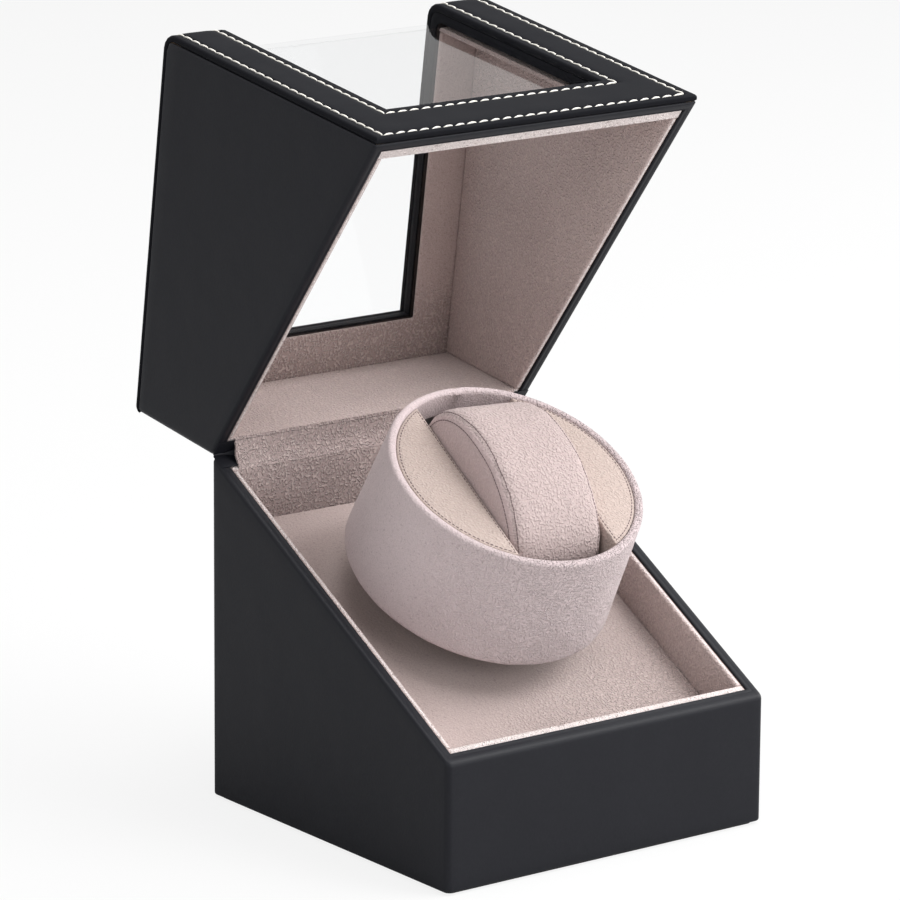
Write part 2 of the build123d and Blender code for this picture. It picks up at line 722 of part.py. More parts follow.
def make_gearbox():
    """Gearbox case with its cover, arbors and bushing, and the motor under it."""
    arbor_low = case_floor_top - arbor_seat
    arbor_high = cover_under + arbor_seat
    arbors = [rod(arbor_radius, arbor_low, arbor_high, x) for x in gear_centres[1:3]]
    arbor_set = Compound(arbors)
    journal = rod(shaft_radius + running_fit, case_floor_top - gearbox_wall / 2, cover_under)
    motor_x = gear_centres[3]
    case = case_plate(case_under, cover_under) - case_plate(case_floor_top, cover_under, gearbox_wall)
    case -= arbor_set + journal + rod(motor_shaft_radius + 0.5, case_under, case_floor_top, motor_x)
    bushing = rod(bushing_radius, cover_under, cover_top + bushing_rise)
    ears = []
    screws = []
    for x in (case_x_low + gearbox_radius, case_x_high - gearbox_radius):
        for y in (-case_half_width, case_half_width):
            ears.append(rod(cover_ear, cover_under, cover_top, x, y))
            head = rod(2 * ear_screw_radius, cover_under - 1.4, cover_under, x, y + math.copysign(1.5, y))
            shank = rod(ear_screw_radius, cover_under - 0.5, cover_top + deck_board - 0.5, x, y + math.copysign(1.5, y))
            screws.append(head + shank)
    cover = case_plate(cover_under, cover_top)
    for ear in ears:
        cover += ear
    screw_set = Compound(screws)
    cover -= arbor_set + bushing + screw_set
    case -= screw_set
    bushing -= rod(shaft_radius + running_fit, cover_under, cover_top + bushing_rise)
    round_can = rod(motor_radius, case_under - motor_length, case_under)
    flats = block(-motor_radius, motor_radius, -motor_flat, motor_flat, case_under - motor_length, case_under)
    can = Pos(motor_x, 0, 0) * (round_can & flats)
    can -= rod(motor_shaft_radius + running_fit, case_under - motor_shaft_depth, case_under, motor_x)
    cap_low = case_under - motor_length - motor_cap
    cap = Pos(motor_x, 0, 0) * (
        (rod(motor_radius - 1, cap_low, cap_low + motor_cap) & Pos(0, 0, -motor_cap) * flats)
        + rod(motor_boss_radius, cap_low - motor_boss, cap_low)
    )
    pinion_top = layer_tops[2] + pinion_overlap
    motor_shaft = rod(motor_shaft_radius, case_under - motor_shaft_depth + 0.2, pinion_top)
    motor_pinion = gear(pinion_teeth, 0, motor_shaft_radius, layer_tops[2] - wheel_face, pinion_top)
    output = d_shaft(case_floor_top - gearbox_wall / 2 + 0.1, shaft_top)
    output_wheel = Pos(0, 0, 0) * gear(
        wheel_teeth, 180 / wheel_teeth, shaft_radius, layer_tops[0] - wheel_face, layer_tops[0]
    )
    journal_part = rod(shaft_radius, case_floor_top - gearbox_wall / 2 + 0.1, cover_top + bushing_rise)
    pieces = {
        "gearbox_case": case,
        "gearbox_cover": cover,
        "gearbox_screws": screw_set,
        "gear_arbors": arbor_set,
        "output_bushing": bushing,
        "motor_can": can,
        "motor_end_cap": cap,
        "motor_shaft": Pos(motor_x, 0, 0) * motor_shaft,
        "motor_pinion": Pos(motor_x, 0, 0) * motor_pinion,
        "first_gear": Pos(gear_centres[2], 0, 0) * compound_gear(2),
        "second_gear": Pos(gear_centres[1], 0, 0) * compound_gear(1),
        "output_wheel": output_wheel,
    }
    placed = {name: drive_plane * shape for name, shape in pieces.items()}
    placed["output_shaft"] = (drum_plane * output) + (drive_plane * journal_part)
    return placed


# ---- Power inlet, mode switch and circuit board ----


def make_controls():
    """Pieces that stand in the back of the base."""
    back = half_d
    behind = inner_half_d
    jack_start = back + jack_flange - jack_length
    socket = rod(jack_barrel_radius, 0, jack_length) + rod(jack_flange_radius, jack_length - jack_flange, jack_length)
    socket -= rod(jack_mouth_radius, jack_length - jack_mouth, jack_length)
    chamber_low = jack_length - jack_mouth - jack_chamber
    socket -= rod(jack_chamber_radius, chamber_low, jack_length - jack_mouth)
    pin_top = jack_length - jack_mouth - jack_pin_recess
    pin = fillet(rod(jack_pin_radius, chamber_low, pin_top).edges().group_by(Axis.Z)[-1], jack_pin_radius * 0.6)
    nut = extrude(RegularPolygon(jack_nut_across / 2, 6, major_radius=False), amount=jack_nut)
    nut -= rod(jack_barrel_radius, 0, jack_nut)

    bush_reach = back - behind
    board_y = behind - board_standoff - board_size[1]
    switch_front = behind - switch_body[1]
    switch = Pos(0, 0, switch_body[1] / 2) * Box(switch_body[0], switch_body[2], switch_body[1])
    switch += rod(switch_bush_radius, switch_body[1], switch_body[1] + bush_reach)
    shaft_room = rod(switch_shaft_radius + running_fit, switch_body[1] - 2.0, switch_body[1] + bush_reach + 1)
    switch -= shaft_room
    shaft_end = switch_body[1] + bush_reach + knob_air + knob_height - 2.0
    switch_shaft = rod(switch_shaft_radius, switch_body[1] - 1.9, shaft_end)
    knob = rod(knob_radius, 0, knob_height)
    knob = fillet(knob.edges().group_by(Axis.Z)[-1], 0.8)
    flute = rod(0.5, -1, knob_height - 1.5, knob_radius)
    for index in range(knob_flute_count):
        knob -= Rot(0, 0, 360 * index / knob_flute_count) * flute
    pointer = block(-knob_pointer_width / 2, knob_pointer_width / 2, 1.5, knob_radius + 1, knob_height - 0.5, knob_height)
    knob -= pointer
    knob -= rod(switch_shaft_radius, 0, knob_height - 2.0)

    board = Pos(0, 0, board_size[1] / 2) * Box(board_size[0], board_size[2], board_size[1])
    board_x = (jack_x + knob_x) / 2
    stand_x = board_size[0] / 2 - standoff_inset
    stand_z = board_size[2] / 2 - standoff_inset
    standoffs = [
        rod(standoff_radius, 0, board_standoff, x, z) for x in (-stand_x, stand_x) for z in (-stand_z, stand_z)
    ]
    chip = Pos(0, 0, -chip_size[1] / 2) * Box(chip_size[0], chip_size[2], chip_size[1])
    capacitor = rod(capacitor_radius, -capacitor_length, 0, 14.0, 4.0)
    pins = [rod(0.4, -1.2, 0, -14.0 + 2.54 * n, -9.0) for n in range(4)]
    switch_stand = block(-4, 4, -4, 4, 0, board_standoff - switch_body[1])
    switch_stand = Pos(board_x - knob_x, 0, 0) * switch_stand
    knob_y = back + knob_air
    in_front = along_y(Compound([chip, capacitor, *pins]), board_x, board_y, control_height)
    behind_board = along_y(
        Compound([*standoffs, switch_stand]), board_x, behind - board_standoff, control_height
    )
    return {
        "power_inlet": along_y(socket, jack_x, jack_start, control_height),
        "power_inlet_pin": along_y(pin, jack_x, jack_start, control_height),
        "power_inlet_nut": along_y(nut, jack_x, behind - jack_nut, control_height),
        "mode_switch": along_y(switch, knob_x, switch_front, control_height),
        "mode_knob": along_y(switch_shaft, knob_x, switch_front, control_height)
        + along_y(knob, knob_x, knob_y, control_height),
        "circuit_board": along_y(board, board_x, board_y, control_height),
        "board_parts": Compound([in_front, behind_board]),
        "motor_leads": make_motor_leads(board_x, board_y),
    }


def make_motor_leads(board_x, board_y):
    """Two wires from the motor's end cap to the circuit board."""
    leads = []
    for side in (-1, 1):
        tag = Vector(gear_centres[3], side * lead_spread, case_under - motor_length - motor_cap)
        start = drive_plane.from_local_coords(tag)
        below = start - drive_plane.z_dir * lead_drop
        end = Vector(board_x + lead_reach, board_y, control_height + side * lead_spread / 2)
        before = end - Vector(0, lead_run, 0)
        path = FilletPolyline(start, below, before, end, radius=lead_bend)
        leads.append(sweep(Plane(origin=start, z_dir=-drive_plane.z_dir) * Circle(lead_radius), path=path))
    return Compound(leads)


parts = {}
parts.update(make_base_shell())
parts.update(make_base_lining())
parts.update({name: opened(shape) for name, shape in (make_lid_shell() | make_lid_lining()).items()})
parts.update(make_hinges())
parts.update(make_drum())
parts.update(make_gearbox())
parts.update(make_controls())
parts["deck_board"] -= parts["gearbox_screws"]
parts["deck_cleats"] -= drive_plane * case_plate(case_under, cover_top, -cleat_air)
parts["hinge_cloth"] -= parts["base_lining_back"] + parts["lid_lining_back"]

os.makedirs("parts", exist_ok=True)
for name, shape in parts.items():
    export_step(shape, f"parts/{name}.step")
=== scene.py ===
import json
import logging
import math
from collections.abc import Callable, Iterable, Mapping, Sequence
from dataclasses import dataclass, field
from enum import Enum

import bmesh
import bpy
import numpy as np
from mathutils import Matrix, Vector, noise


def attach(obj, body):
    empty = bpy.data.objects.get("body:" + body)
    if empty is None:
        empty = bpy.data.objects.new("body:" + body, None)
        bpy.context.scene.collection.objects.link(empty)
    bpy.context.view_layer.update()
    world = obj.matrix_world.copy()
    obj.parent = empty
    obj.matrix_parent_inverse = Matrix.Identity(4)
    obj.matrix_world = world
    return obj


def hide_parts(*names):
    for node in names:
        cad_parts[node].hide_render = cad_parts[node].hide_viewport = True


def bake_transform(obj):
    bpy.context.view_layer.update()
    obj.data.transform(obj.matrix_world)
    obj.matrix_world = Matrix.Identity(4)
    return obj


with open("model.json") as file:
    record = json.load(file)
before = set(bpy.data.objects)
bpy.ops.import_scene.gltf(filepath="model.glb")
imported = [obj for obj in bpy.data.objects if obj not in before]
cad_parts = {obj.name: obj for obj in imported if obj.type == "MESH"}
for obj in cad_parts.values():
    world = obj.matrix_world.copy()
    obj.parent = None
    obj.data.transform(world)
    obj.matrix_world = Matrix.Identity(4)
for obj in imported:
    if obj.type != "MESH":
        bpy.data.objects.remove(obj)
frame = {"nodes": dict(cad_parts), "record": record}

log = logging.getLogger("winder_box")

MM = 0.001
Point = tuple[float, float, float]
Colour = tuple[float, float, float]
WHITE: Colour = (1.0, 1.0, 1.0)
NEAR = 0.01


# ---- Shaders ----


class Sock:
    """A shader socket that takes part in arithmetic."""

    def __init__(self, shader: "Shader", socket: bpy.types.NodeSocket | None) -> None:
        """Wraps one output socket of a shader; an output node has none."""
        self.shader = shader
        self.socket = socket

    def _maths(self, operation: str, *terms: object) -> "Sock":
        """Adds one Math node.

        Args:
            operation: the Math node's operation.
            terms: its inputs in order, sockets or numbers.

        Returns:
            The node's result.
        """
        return self.shader.node("ShaderNodeMath", {"operation": operation}, dict(enumerate(terms)))

    def __add__(self, other: object) -> "Sock":
        """Sum."""
        return self._maths("ADD", self, other)

    __radd__ = __add__

    def __sub__(self, other: object) -> "Sock":
        """Difference."""
        return self._maths("SUBTRACT", self, other)

    def __rsub__(self, other: object) -> "Sock":
        """Difference the other way round."""
        return self._maths("SUBTRACT", other, self)

    def __mul__(self, other: object) -> "Sock":
        """Product."""
        return self._maths("MULTIPLY", self, other)

    __rmul__ = __mul__

    def most(self, other: object) -> "Sock":
        """The larger of two values."""
        return self._maths("MAXIMUM", self, other)

    def eased(self, low: float, high: float) -> "Sock":
        """Runs smoothly from 0 at low to 1 at high.

        Args:
            low: value at which the result is 0.
            high: value at which the result is 1.

        Returns:
            The eased value.
        """
        inputs = {"Value": self, "From Min": low, "From Max": high}
        return self.shader.node("ShaderNodeMapRange", {"interpolation_type": "SMOOTHSTEP"}, inputs)


class Shader:
    """The nodes of one material, or of the world, under construction."""

    def __init__(self, name: str, world: bpy.types.World | None = None) -> None:
        """Starts with no nodes.

        Args:
            name: a new material's name.
            world: the world, where its nodes are wanted instead.
        """
        self.holder = world or bpy.data.materials.new(name)
        self.holder.use_nodes = True
        self.tree = self.holder.node_tree
        self.tree.nodes.clear()

    def node(
        self,
        kind: str,
        settings: Mapping[str, object] | None = None,
        inputs: Mapping[str | int, object] | None = None,
        output: str | int = 0,
    ) -> Sock:
        """Adds a node.

        Args:
            kind: the node's type.
            settings: its properties, set before its sockets.
            inputs: values or sockets for its inputs, by name or number.
            output: which output is wanted, by name or number.

        Returns:
            The wanted output.
        """
        made = self.tree.nodes.new(kind)
        for key, value in (settings or {}).items():
            setattr(made, key, value)
        for key, value in (inputs or {}).items():
            socket = made.inputs[key]
            if isinstance(value, Sock):
                self.tree.links.new(value.socket, socket)
            else:
                socket.default_value = (*value, 1.0) if socket.type == "RGBA" else value
        return Sock(self, made.outputs[output] if made.outputs else None)

    def place_mm(self) -> Sock:
        """The surface point in millimetres, riding with its piece."""
        place = self.node("ShaderNodeTexCoord", None, None, "Object")
        return self.node("ShaderNodeVectorMath", {"operation": "SCALE"}, {0: place, "Scale": 1000.0})

    def noise(self, place: Sock, scale: float, detail: float = 2.0, roughness: float = 0.5) -> Sock:
        """Noise from 0 to 1.

        Args:
            place: where to read it.
            scale: cells per unit of place.
            detail: octaves.
            roughness: strength of the finer octaves.

        Returns:
            The noise value.
        """
        inputs = {"Vector": place, "Scale": scale, "Detail": detail, "Roughness": roughness}
        return self.node("ShaderNodeTexNoise", None, inputs)

    def blend(self, share: object, first: object, second: object) -> Sock:
        """Mixes two colours.

        Args:
            share: 0 for the first, 1 for the second.
            first: a colour or socket.
            second: a colour or socket.

        Returns:
            The mixed colour.
        """
        return self.node("ShaderNodeMix", {"data_type": "RGBA"}, {0: share, 6: first, 7: second}, 2)

    def ray(self, kind: str) -> Sock:
        """1 for one kind of ray, such as Is Camera Ray, and 0 for the rest."""
        return self.node("ShaderNodeLightPath", None, None, kind)

    def bump(self, height: Sock, depth_mm: float, strength: float = 1.0, under: Sock | None = None) -> Sock:
        """Turns a height into a surface normal.

        Args:
            height: height from 0 to 1.
            depth_mm: what a height of 1 stands for.
            strength: how much of it shows.
            under: a normal that it goes on top of.

        Returns:
            The normal.
        """
        inputs: dict[str | int, object] = {"Height": height, "Distance": depth_mm * MM, "Strength": strength}
        if under is not None:
            inputs["Normal"] = under
        return self.node("ShaderNodeBump", None, inputs)

    def surface(self, inputs: Mapping[str | int, object]) -> bpy.types.Material:
        """Ends the material with a Principled shader.

        Args:
            inputs: values or sockets for it.

        Returns:
            The finished material.
        """
        return self.output(self.node("ShaderNodeBsdfPrincipled", None, inputs))

    def output(self, shader: Sock, end: str = "ShaderNodeOutputMaterial") -> bpy.types.Material:
        """Ends the material, or the world, with any shader.

        Args:
            shader: what it shows.
            end: the type of the output node.

        Returns:
            The finished material or world.
        """
        self.node(end, None, {"Surface": shader})
        return self.holder


# ---- Finishes ----


@dataclass(frozen=True)
class Leatherette:
    """Fine-grained imitation leather with a soft satin face."""

    name: str = "leatherette"
    colour: Colour = (0.0086, 0.0089, 0.0120)
    worn: Colour = (0.0122, 0.0128, 0.0162)
    roughness: float = 0.47
    grain_mm: float = 0.75
    grain_depth: float = 0.035
    sag_depth: float = 0.10
    specular: float = 0.14
    fine_scale: float = 4.5
    wander_scale: float = 0.9
    broad_scale: float = 0.045
    smoothness: float = 0.6
    fine_share: float = 0.3
    wander_share: float = 0.6
    mottle_from: float = 0.35
    mottle_to: float = 0.75
    most_worn: float = 0.5
    fine_dulling: float = 0.16
    broad_dulling: float = 0.14

    def material(self) -> bpy.types.Material:
        """Pebbled grain in cells, finer creases between them and broad unevenness of the board below.

        Returns:
            The material.
        """
        s = Shader(self.name)
        at = s.place_mm()
        wander = s.noise(at, self.wander_scale, 2.0)
        cells = s.node(
            "ShaderNodeTexVoronoi",
            {"feature": "SMOOTH_F1"},
            {"Vector": at, "Scale": 1.0 / self.grain_mm, "Smoothness": self.smoothness},
            "Distance",
        )
        fine = s.noise(at, self.fine_scale, 3.0, 0.6)
        broad = s.noise(at, self.broad_scale, 2.0)
        height = (1.0 - cells) * (1.0 - self.fine_share) + fine * self.fine_share
        under = s.bump(broad, self.sag_depth * 10, 0.25)
        normal = s.bump(height, self.grain_depth, 0.55, under)
        mottled = wander * self.wander_share + broad * (1.0 - self.wander_share)
        mottled = mottled.eased(self.mottle_from, self.mottle_to)
        colour = s.blend(mottled * self.most_worn, self.colour, self.worn)
        rough = self.roughness + (fine - 0.5) * self.fine_dulling + (broad - 0.5) * self.broad_dulling
        return s.surface(
            {
                "Base Color": colour,
                "Roughness": rough,
                "Normal": normal,
                "Specular IOR Level": self.specular,
            }
        )


@dataclass(frozen=True)
class Velour:
    """Short-pile velour: smooth with single pin pits, or with the nap raised into pebbles."""

    name: str
    light: Colour
    dark: Colour
    pebble_mm: float = 0.80
    pebble_depth: float = 0.25
    # painted shade and light: how much darker the pebbles' hollows and lighter their tops are coloured
    tone: float = 0.10
    pits: float = 0.75
    speckle: float = 0.60
    sheen: float = 0.25
    sheen_tint: Colour = (0.95, 0.90, 0.89)
    middle: float = 0.62
    patchiness: float = 0.22
    patch_scale: float = 0.030
    fibre_scale: float = 2.6
    pit_scale: float = 1.15
    pebble_ease: tuple[float, float] = (0.46, 0.66)
    pebble_mean: float = 0.35
    pit_ease: tuple[float, float] = (0.68, 0.76)
    pit_depth: float = 0.25
    # painted shade: how much darker the pin pits are coloured
    pit_shade: float = 0.5
    fibre_depth: float = 0.04
    least_rise: float = 0.08
    roughness: float = 0.92
    rise: Point = (0.0, 0.0, 0.0)
    rise_from: float = 0.0
    rise_to: float = 0.0

    def material(self) -> bpy.types.Material:
        """Raised pebbles with painted shade in their hollows and painted light on their tops, pin pits
        darkened by painted shade between them and single fibres over all.

        Returns:
            The material.
        """
        s = Shader(self.name)
        at = s.place_mm()
        patches = s.noise(at, self.patch_scale, 2.0)
        pebbles = s.noise(at, 1.0 / self.pebble_mm, 0.6, 0.45).eased(*self.pebble_ease)
        fibres = s.noise(at, self.fibre_scale, 1.5)
        pits = s.noise(at, self.pit_scale, 0.0).eased(*self.pit_ease)
        raised: object = 1.0
        if self.rise_from != self.rise_to:
            along = {0: at, 1: self.rise}
            reach = s.node("ShaderNodeVectorMath", {"operation": "DOT_PRODUCT"}, along, "Value")
            raised = reach.eased(self.rise_from, self.rise_to) * (1.0 - self.least_rise) + self.least_rise
        share = self.middle + (patches - 0.5) * self.patchiness + (fibres - 0.5) * self.speckle
        # painted shade and light: pebble tops coloured lighter, hollows and pits darker, as lamps would shade
        # the relief
        share += (pebbles - self.pebble_mean) * self.tone * raised - pits * self.pits * self.pit_shade
        colour = s.blend(share.eased(-0.05, 1.05), self.dark, self.light)
        height = pebbles * self.pebble_depth * raised + fibres * self.fibre_depth
        height -= pits * self.pits * self.pit_depth
        return s.surface(
            {
                "Base Color": colour,
                "Roughness": self.roughness - (patches - 0.5) * 0.1,
                "Normal": s.bump(height, 1.0, 0.9),
                "Specular IOR Level": 0.12,
                "Sheen Weight": self.sheen,
                "Sheen Roughness": 0.45,
                "Sheen Tint": self.sheen_tint,
            }
        )


@dataclass(frozen=True)
class Thread:
    """Bonded polyester thread, two plies."""

    name: str = "seam_thread"
    colour: Colour = (0.80, 0.77, 0.71)
    shade: Colour = (0.42, 0.39, 0.35)

    def material(self) -> bpy.types.Material:
        """Fine fibres along the plies, with a little soil between them.

        Returns:
            The material.
        """
        s = Shader(self.name)
        at = s.place_mm()
        fibres = s.noise(at, 7.0, 2.0)
        soil = s.noise(at, 0.5, 2.0)
        colour = s.blend((fibres * 0.5 + soil * 0.5).eased(0.25, 0.5), self.shade, self.colour)
        normal = s.bump(fibres, 0.05, 0.6)
        return s.surface({"Base Color": colour, "Roughness": 0.55 + fibres * 0.2, "Normal": normal})


@dataclass(frozen=True)
class ClearSheet:
    """Polished clear sheet, too thin to bend what is seen through it."""

    name: str = "clear_sheet"
    tint: Colour = (0.992, 0.994, 0.995)
    index: float = 1.33

    def material(self) -> bpy.types.Material:
        """Clear body under a gloss that faint wipe marks dull.

        Returns:
            The material.
        """
        s = Shader(self.name)
        at = s.place_mm()
        wipe = s.noise(at, 0.04, 3.0)
        clear = s.node("ShaderNodeBsdfTransparent", None, {"Color": self.tint})
        gloss = s.node("ShaderNodeBsdfGlossy", None, {"Roughness": 0.02 + wipe * 0.03})
        fresnel = s.node("ShaderNodeFresnel", None, {"IOR": self.index})
        inner = s.node("ShaderNodeNewGeometry", None, None, "Backfacing")
        return s.output(s.node("ShaderNodeMixShader", None, {0: fresnel * (1.0 - inner), 1: clear, 2: gloss}))


@dataclass(frozen=True)
class Pressed:
    """Pressed fibres: board or felt."""

    name: str
    light: Colour
    dark: Colour
    roughness: float = 0.85
    scale: float = 1.6
    detail: float = 5.0
    depth: float = 0.12
    strength: float = 0.6

    def material(self) -> bpy.types.Material:
        """Fibres that lie every way.

        Returns:
            The material.
        """
        s = Shader(self.name)
        fibres = s.noise(s.place_mm(), self.scale, self.detail, 0.7)
        colour = s.blend(fibres.eased(0.3, 0.7), self.dark, self.light)
        normal = s.bump(fibres, self.depth, self.strength)
        return s.surface({"Base Color": colour, "Roughness": self.roughness, "Normal": normal})


@dataclass(frozen=True)
class Moulding:
    """Injection-moulded plastic with a spark-eroded texture."""

    name: str
    colour: Colour
    roughness: float = 0.5
    texture_mm: float = 0.25

    def material(self) -> bpy.types.Material:
        """Even colour with fine texture and slight flow marks.

        Returns:
            The material.
        """
        s = Shader(self.name)
        at = s.place_mm()
        grain = s.noise(at, 1.0 / self.texture_mm, 2.0)
        flow = s.noise(at, 0.08, 2.0)
        darker = tuple(0.8 * part for part in self.colour)
        colour = s.blend(flow.eased(0.3, 0.7), darker, self.colour)
        rough = self.roughness + (flow - 0.5) * 0.12
        return s.surface({"Base Color": colour, "Roughness": rough, "Normal": s.bump(grain, 0.02, 0.5)})


@dataclass(frozen=True)
class Metal:
    """Worked metal with fine tool marks."""

    name: str
    colour: Colour
    roughness: float = 0.32
    marks: Point = (0.15, 0.15, 6.0)

    def material(self) -> bpy.types.Material:
        """Marks drawn out along one way, with a little tarnish.

        Returns:
            The material.
        """
        s = Shader(self.name)
        at = s.place_mm()
        along = s.node("ShaderNodeVectorMath", {"operation": "MULTIPLY"}, {0: at, 1: self.marks})
        marks = s.noise(along, 1.0, 3.0)
        tarnish = s.noise(at, 0.3, 3.0)
        darker = tuple(0.7 * part for part in self.colour)
        colour = s.blend(tarnish.eased(0.35, 0.7), darker, self.colour)
        rough = self.roughness + (marks - 0.5) * 0.2
        return s.surface(
            {"Base Color": colour, "Metallic": 1.0, "Roughness": rough, "Normal": s.bump(marks, 0.01, 0.5)}
        )


class Finish(Enum):
    """Every finish of the box, by the record's material slot."""

    leatherette_black = Leatherette()
    # darker copy of the leatherette for the stitched frame: its darker colour is painted shade on the frame's
    # upward face
    leatherette_frame = Leatherette(
        name="leatherette_frame",
        colour=(0.0052, 0.0055, 0.0075),
        worn=(0.0075, 0.0078, 0.0100),
        roughness=0.60,
        grain_mm=0.7,
        specular=0.05,
    )
    fibreboard = Pressed("fibreboard", (0.42, 0.29, 0.18), (0.24, 0.16, 0.10))
    # near-black fibreboard: painted shadow on the lid frames' edge that shows between leather and lining
    fibreboard_dyed = Pressed("fibreboard_dyed", (0.050, 0.034, 0.030), (0.026, 0.017, 0.015))
    velour_beige = Velour(
        "velour_lining", (0.62, 0.505, 0.480), (0.28, 0.215, 0.205), pebble_depth=0.45, tone=0.16, pits=0.35
    )
    velour_pebbled = Velour(
        "velour_pebbled", (0.60, 0.490, 0.470), (0.22, 0.165, 0.160), pebble_depth=1.0, tone=0.34, pits=0.0
    )
    # darker copy of the lining velour for the lid's rear lining: its darker colour is painted shade; its
    # lower band is pebbled
    velour_rear = Velour(
        "velour_rear",
        (0.52, 0.410, 0.385),
        (0.20, 0.145, 0.135),
        pebble_depth=0.95,
        tone=0.45,
        pits=0.3,
        rise=(0.0, -0.2, -1.0),
        rise_from=-175.0,
        rise_to=-146.0,
    )
    velour_deck = Velour(
        "velour_deck",
        (0.61, 0.500, 0.475),
        (0.27, 0.210, 0.200),
        pebble_depth=0.80,
        tone=0.26,
        pits=0.25,
        rise=(0.45, -0.89, 0.0),
        rise_from=12.0,
        rise_to=52.0,
    )
    velour_drum = Velour(
        "velour_drum",
        (0.67, 0.565, 0.570),
        (0.34, 0.270, 0.275),
        pebble_mm=0.66,
        pebble_depth=1.0,
        tone=0.26,
        pits=0.3,
        rise=(0.75, -0.66, 0.0),
        rise_from=-26.0,
        rise_to=44.0,
    )
    velour_cushion = Velour(
        "velour_cushion", (0.56, 0.455, 0.440), (0.29, 0.225, 0.22), pebble_depth=0.40, pits=0.25
    )
    felt_black = Pressed("felt", (0.030, 0.030, 0.032), (0.010, 0.010, 0.011), 0.95, 2.4, 4.0, 0.25, 0.8)
    clear_acrylic = ClearSheet()
    moulded_black = Moulding("moulded_black", (0.018, 0.018, 0.019), 0.42)
    moulded_white = Moulding("moulded_white", (0.72, 0.71, 0.67), 0.4)
    drum_moulding = Moulding("drum_moulding", (0.12, 0.115, 0.11), 0.55)
    circuit_laminate = Moulding("circuit_laminate", (0.02, 0.16, 0.07), 0.25)
    steel = Metal("steel", (0.60, 0.60, 0.61))
    motor_steel = Metal("motor_steel", (0.52, 0.52, 0.53), 0.38)
    brass = Metal("brass", (0.78, 0.58, 0.27), 0.28)
    hinge_plate = Metal("hinge_plate", (0.58, 0.56, 0.52), 0.25)
    lead_insulation = Moulding("lead_insulation", (0.50, 0.03, 0.02), 0.4)
    thread = Thread()
    pad_face = Velour("pad_face", (0.53, 0.435, 0.395), (0.34, 0.265, 0.235), pits=0.3, speckle=0.3)
    cushion_end = Velour("cushion_end", (0.62, 0.495, 0.490), (0.42, 0.325, 0.325), pits=0.1, speckle=0.3)
    # light velour for the linings' rim faces: painted highlight on the folded edge
    lining_edge = Velour(
        "lining_edge", (0.86, 0.78, 0.76), (0.34, 0.27, 0.26), pebble_mm=0.50, pebble_depth=0.35, tone=0.25
    )
    seam_dark = Moulding("seam_dark", (0.16, 0.115, 0.115), 0.8)

    def made(self) -> bpy.types.Material:
        """The finish's material, made at its first use.

        Returns:
            The material.
        """
        key = f"made.{self.name}"
        found = bpy.data.materials.get(key)
        if found is None:
            found = self.value.material()
            found.name = key
        return found


# ---- Mesh tools ----


class Shape:
    """A mesh under construction, in millimetres."""

    def __init__(self) -> None:
        """Starts with nothing."""
        self.points: list[Point] = []
        self.faces: list[tuple[int, ...]] = []

    def add(self, points: Iterable[Sequence[float]]) -> list[int]:
        """Adds points.

        Args:
            points: their places.

        Returns:
            Their numbers.
        """
        first = len(self.points)
        self.points.extend((float(p[0]), float(p[1]), float(p[2])) for p in points)
        return list(range(first, len(self.points)))

    def face(self, corners: Sequence[int]) -> None:
        """Adds a face, unless it has closed up.

        Args:
            corners: numbers of its points, in order.
        """
        kept = tuple(dict.fromkeys(corners))
        if len(kept) > 2:
            self.faces.append(kept)

    def strip(self, first: Sequence[int], second: Sequence[int], closed: bool = True) -> None:
        """Joins two rows of equal length with quads.

        Args:
            first: numbers of one row.
            second: numbers of the next row.
            closed: whether the rows run round.
        """
        count = len(first)
        for i in range(count if closed else count - 1):
            j = (i + 1) % count
            self.face((first[i], first[j], second[j], second[i]))

    def rings(self, rows: Sequence[Sequence[Sequence[float]]], round_trip: bool = False) -> list[list[int]]:
        """Adds closed rings of points and joins each to the next.

        Args:
            rows: rings of equal length.
            round_trip: whether the last ring joins the first.

        Returns:
            The numbers of each ring.
        """
        added = [self.add(row) for row in rows]
        for first, second in zip(added, added[1:]):
            self.strip(first, second)
        if round_trip:
            self.strip(added[-1], added[0])
        return added

    def fan(self, row: Sequence[int], reverse: bool = False) -> None:
        """Closes a ring with triangles to its middle.

        Args:
            row: numbers of the ring.
            reverse: whether the triangles face the other way.
        """
        middle = self.add([np.mean([self.points[i] for i in row], axis=0)])[0]
        count = len(row)
        for i in range(count):
            pair = (row[i], row[(i + 1) % count])
            self.face((*(reversed(pair) if reverse else pair), middle))

    def solid(self, rows: Sequence[Sequence[Sequence[float]]]) -> None:
        """Joins rings into a solid that is closed at both ends.

        Args:
            rows: rings of equal length.
        """
        added = self.rings(rows)
        self.fan(added[0], reverse=True)
        self.fan(added[-1])

    def sheet(self, rows: Sequence[Sequence[Sequence[float]]]) -> None:
        """Joins thin sections into a closed sheet.

        Args:
            rows: sections of equal length, each out along one side and back along the other.
        """
        added = self.rings(rows)
        count = len(rows[0]) // 2
        for row in (added[0], added[-1]):
            self.strip(row[:count], row[count:][::-1], closed=False)

    def made(
        self,
        name: str,
        finishes: Sequence[Finish],
        body: str | None,
        place: Matrix | None = None,
        smooth: float = 40.0,
    ) -> bpy.types.Object:
        """Makes the piece.

        Args:
            name: the piece's name.
            finishes: its materials; all faces start with the first.
            body: the CAD body it rides on, or None.
            place: turns it from its own frame into the box's, in metres.
            smooth: edges flatter than this many degrees shade smoothly.

        Returns:
            The new object.
        """
        mesh = bpy.data.meshes.new(name)
        mesh.from_pydata([tuple(MM * c for c in p) for p in self.points], [], self.faces)
        if place is not None:
            mesh.transform(place)
        for finish in finishes:
            mesh.materials.append(finish.made())
        return finish_mesh(name, mesh, body, smooth)


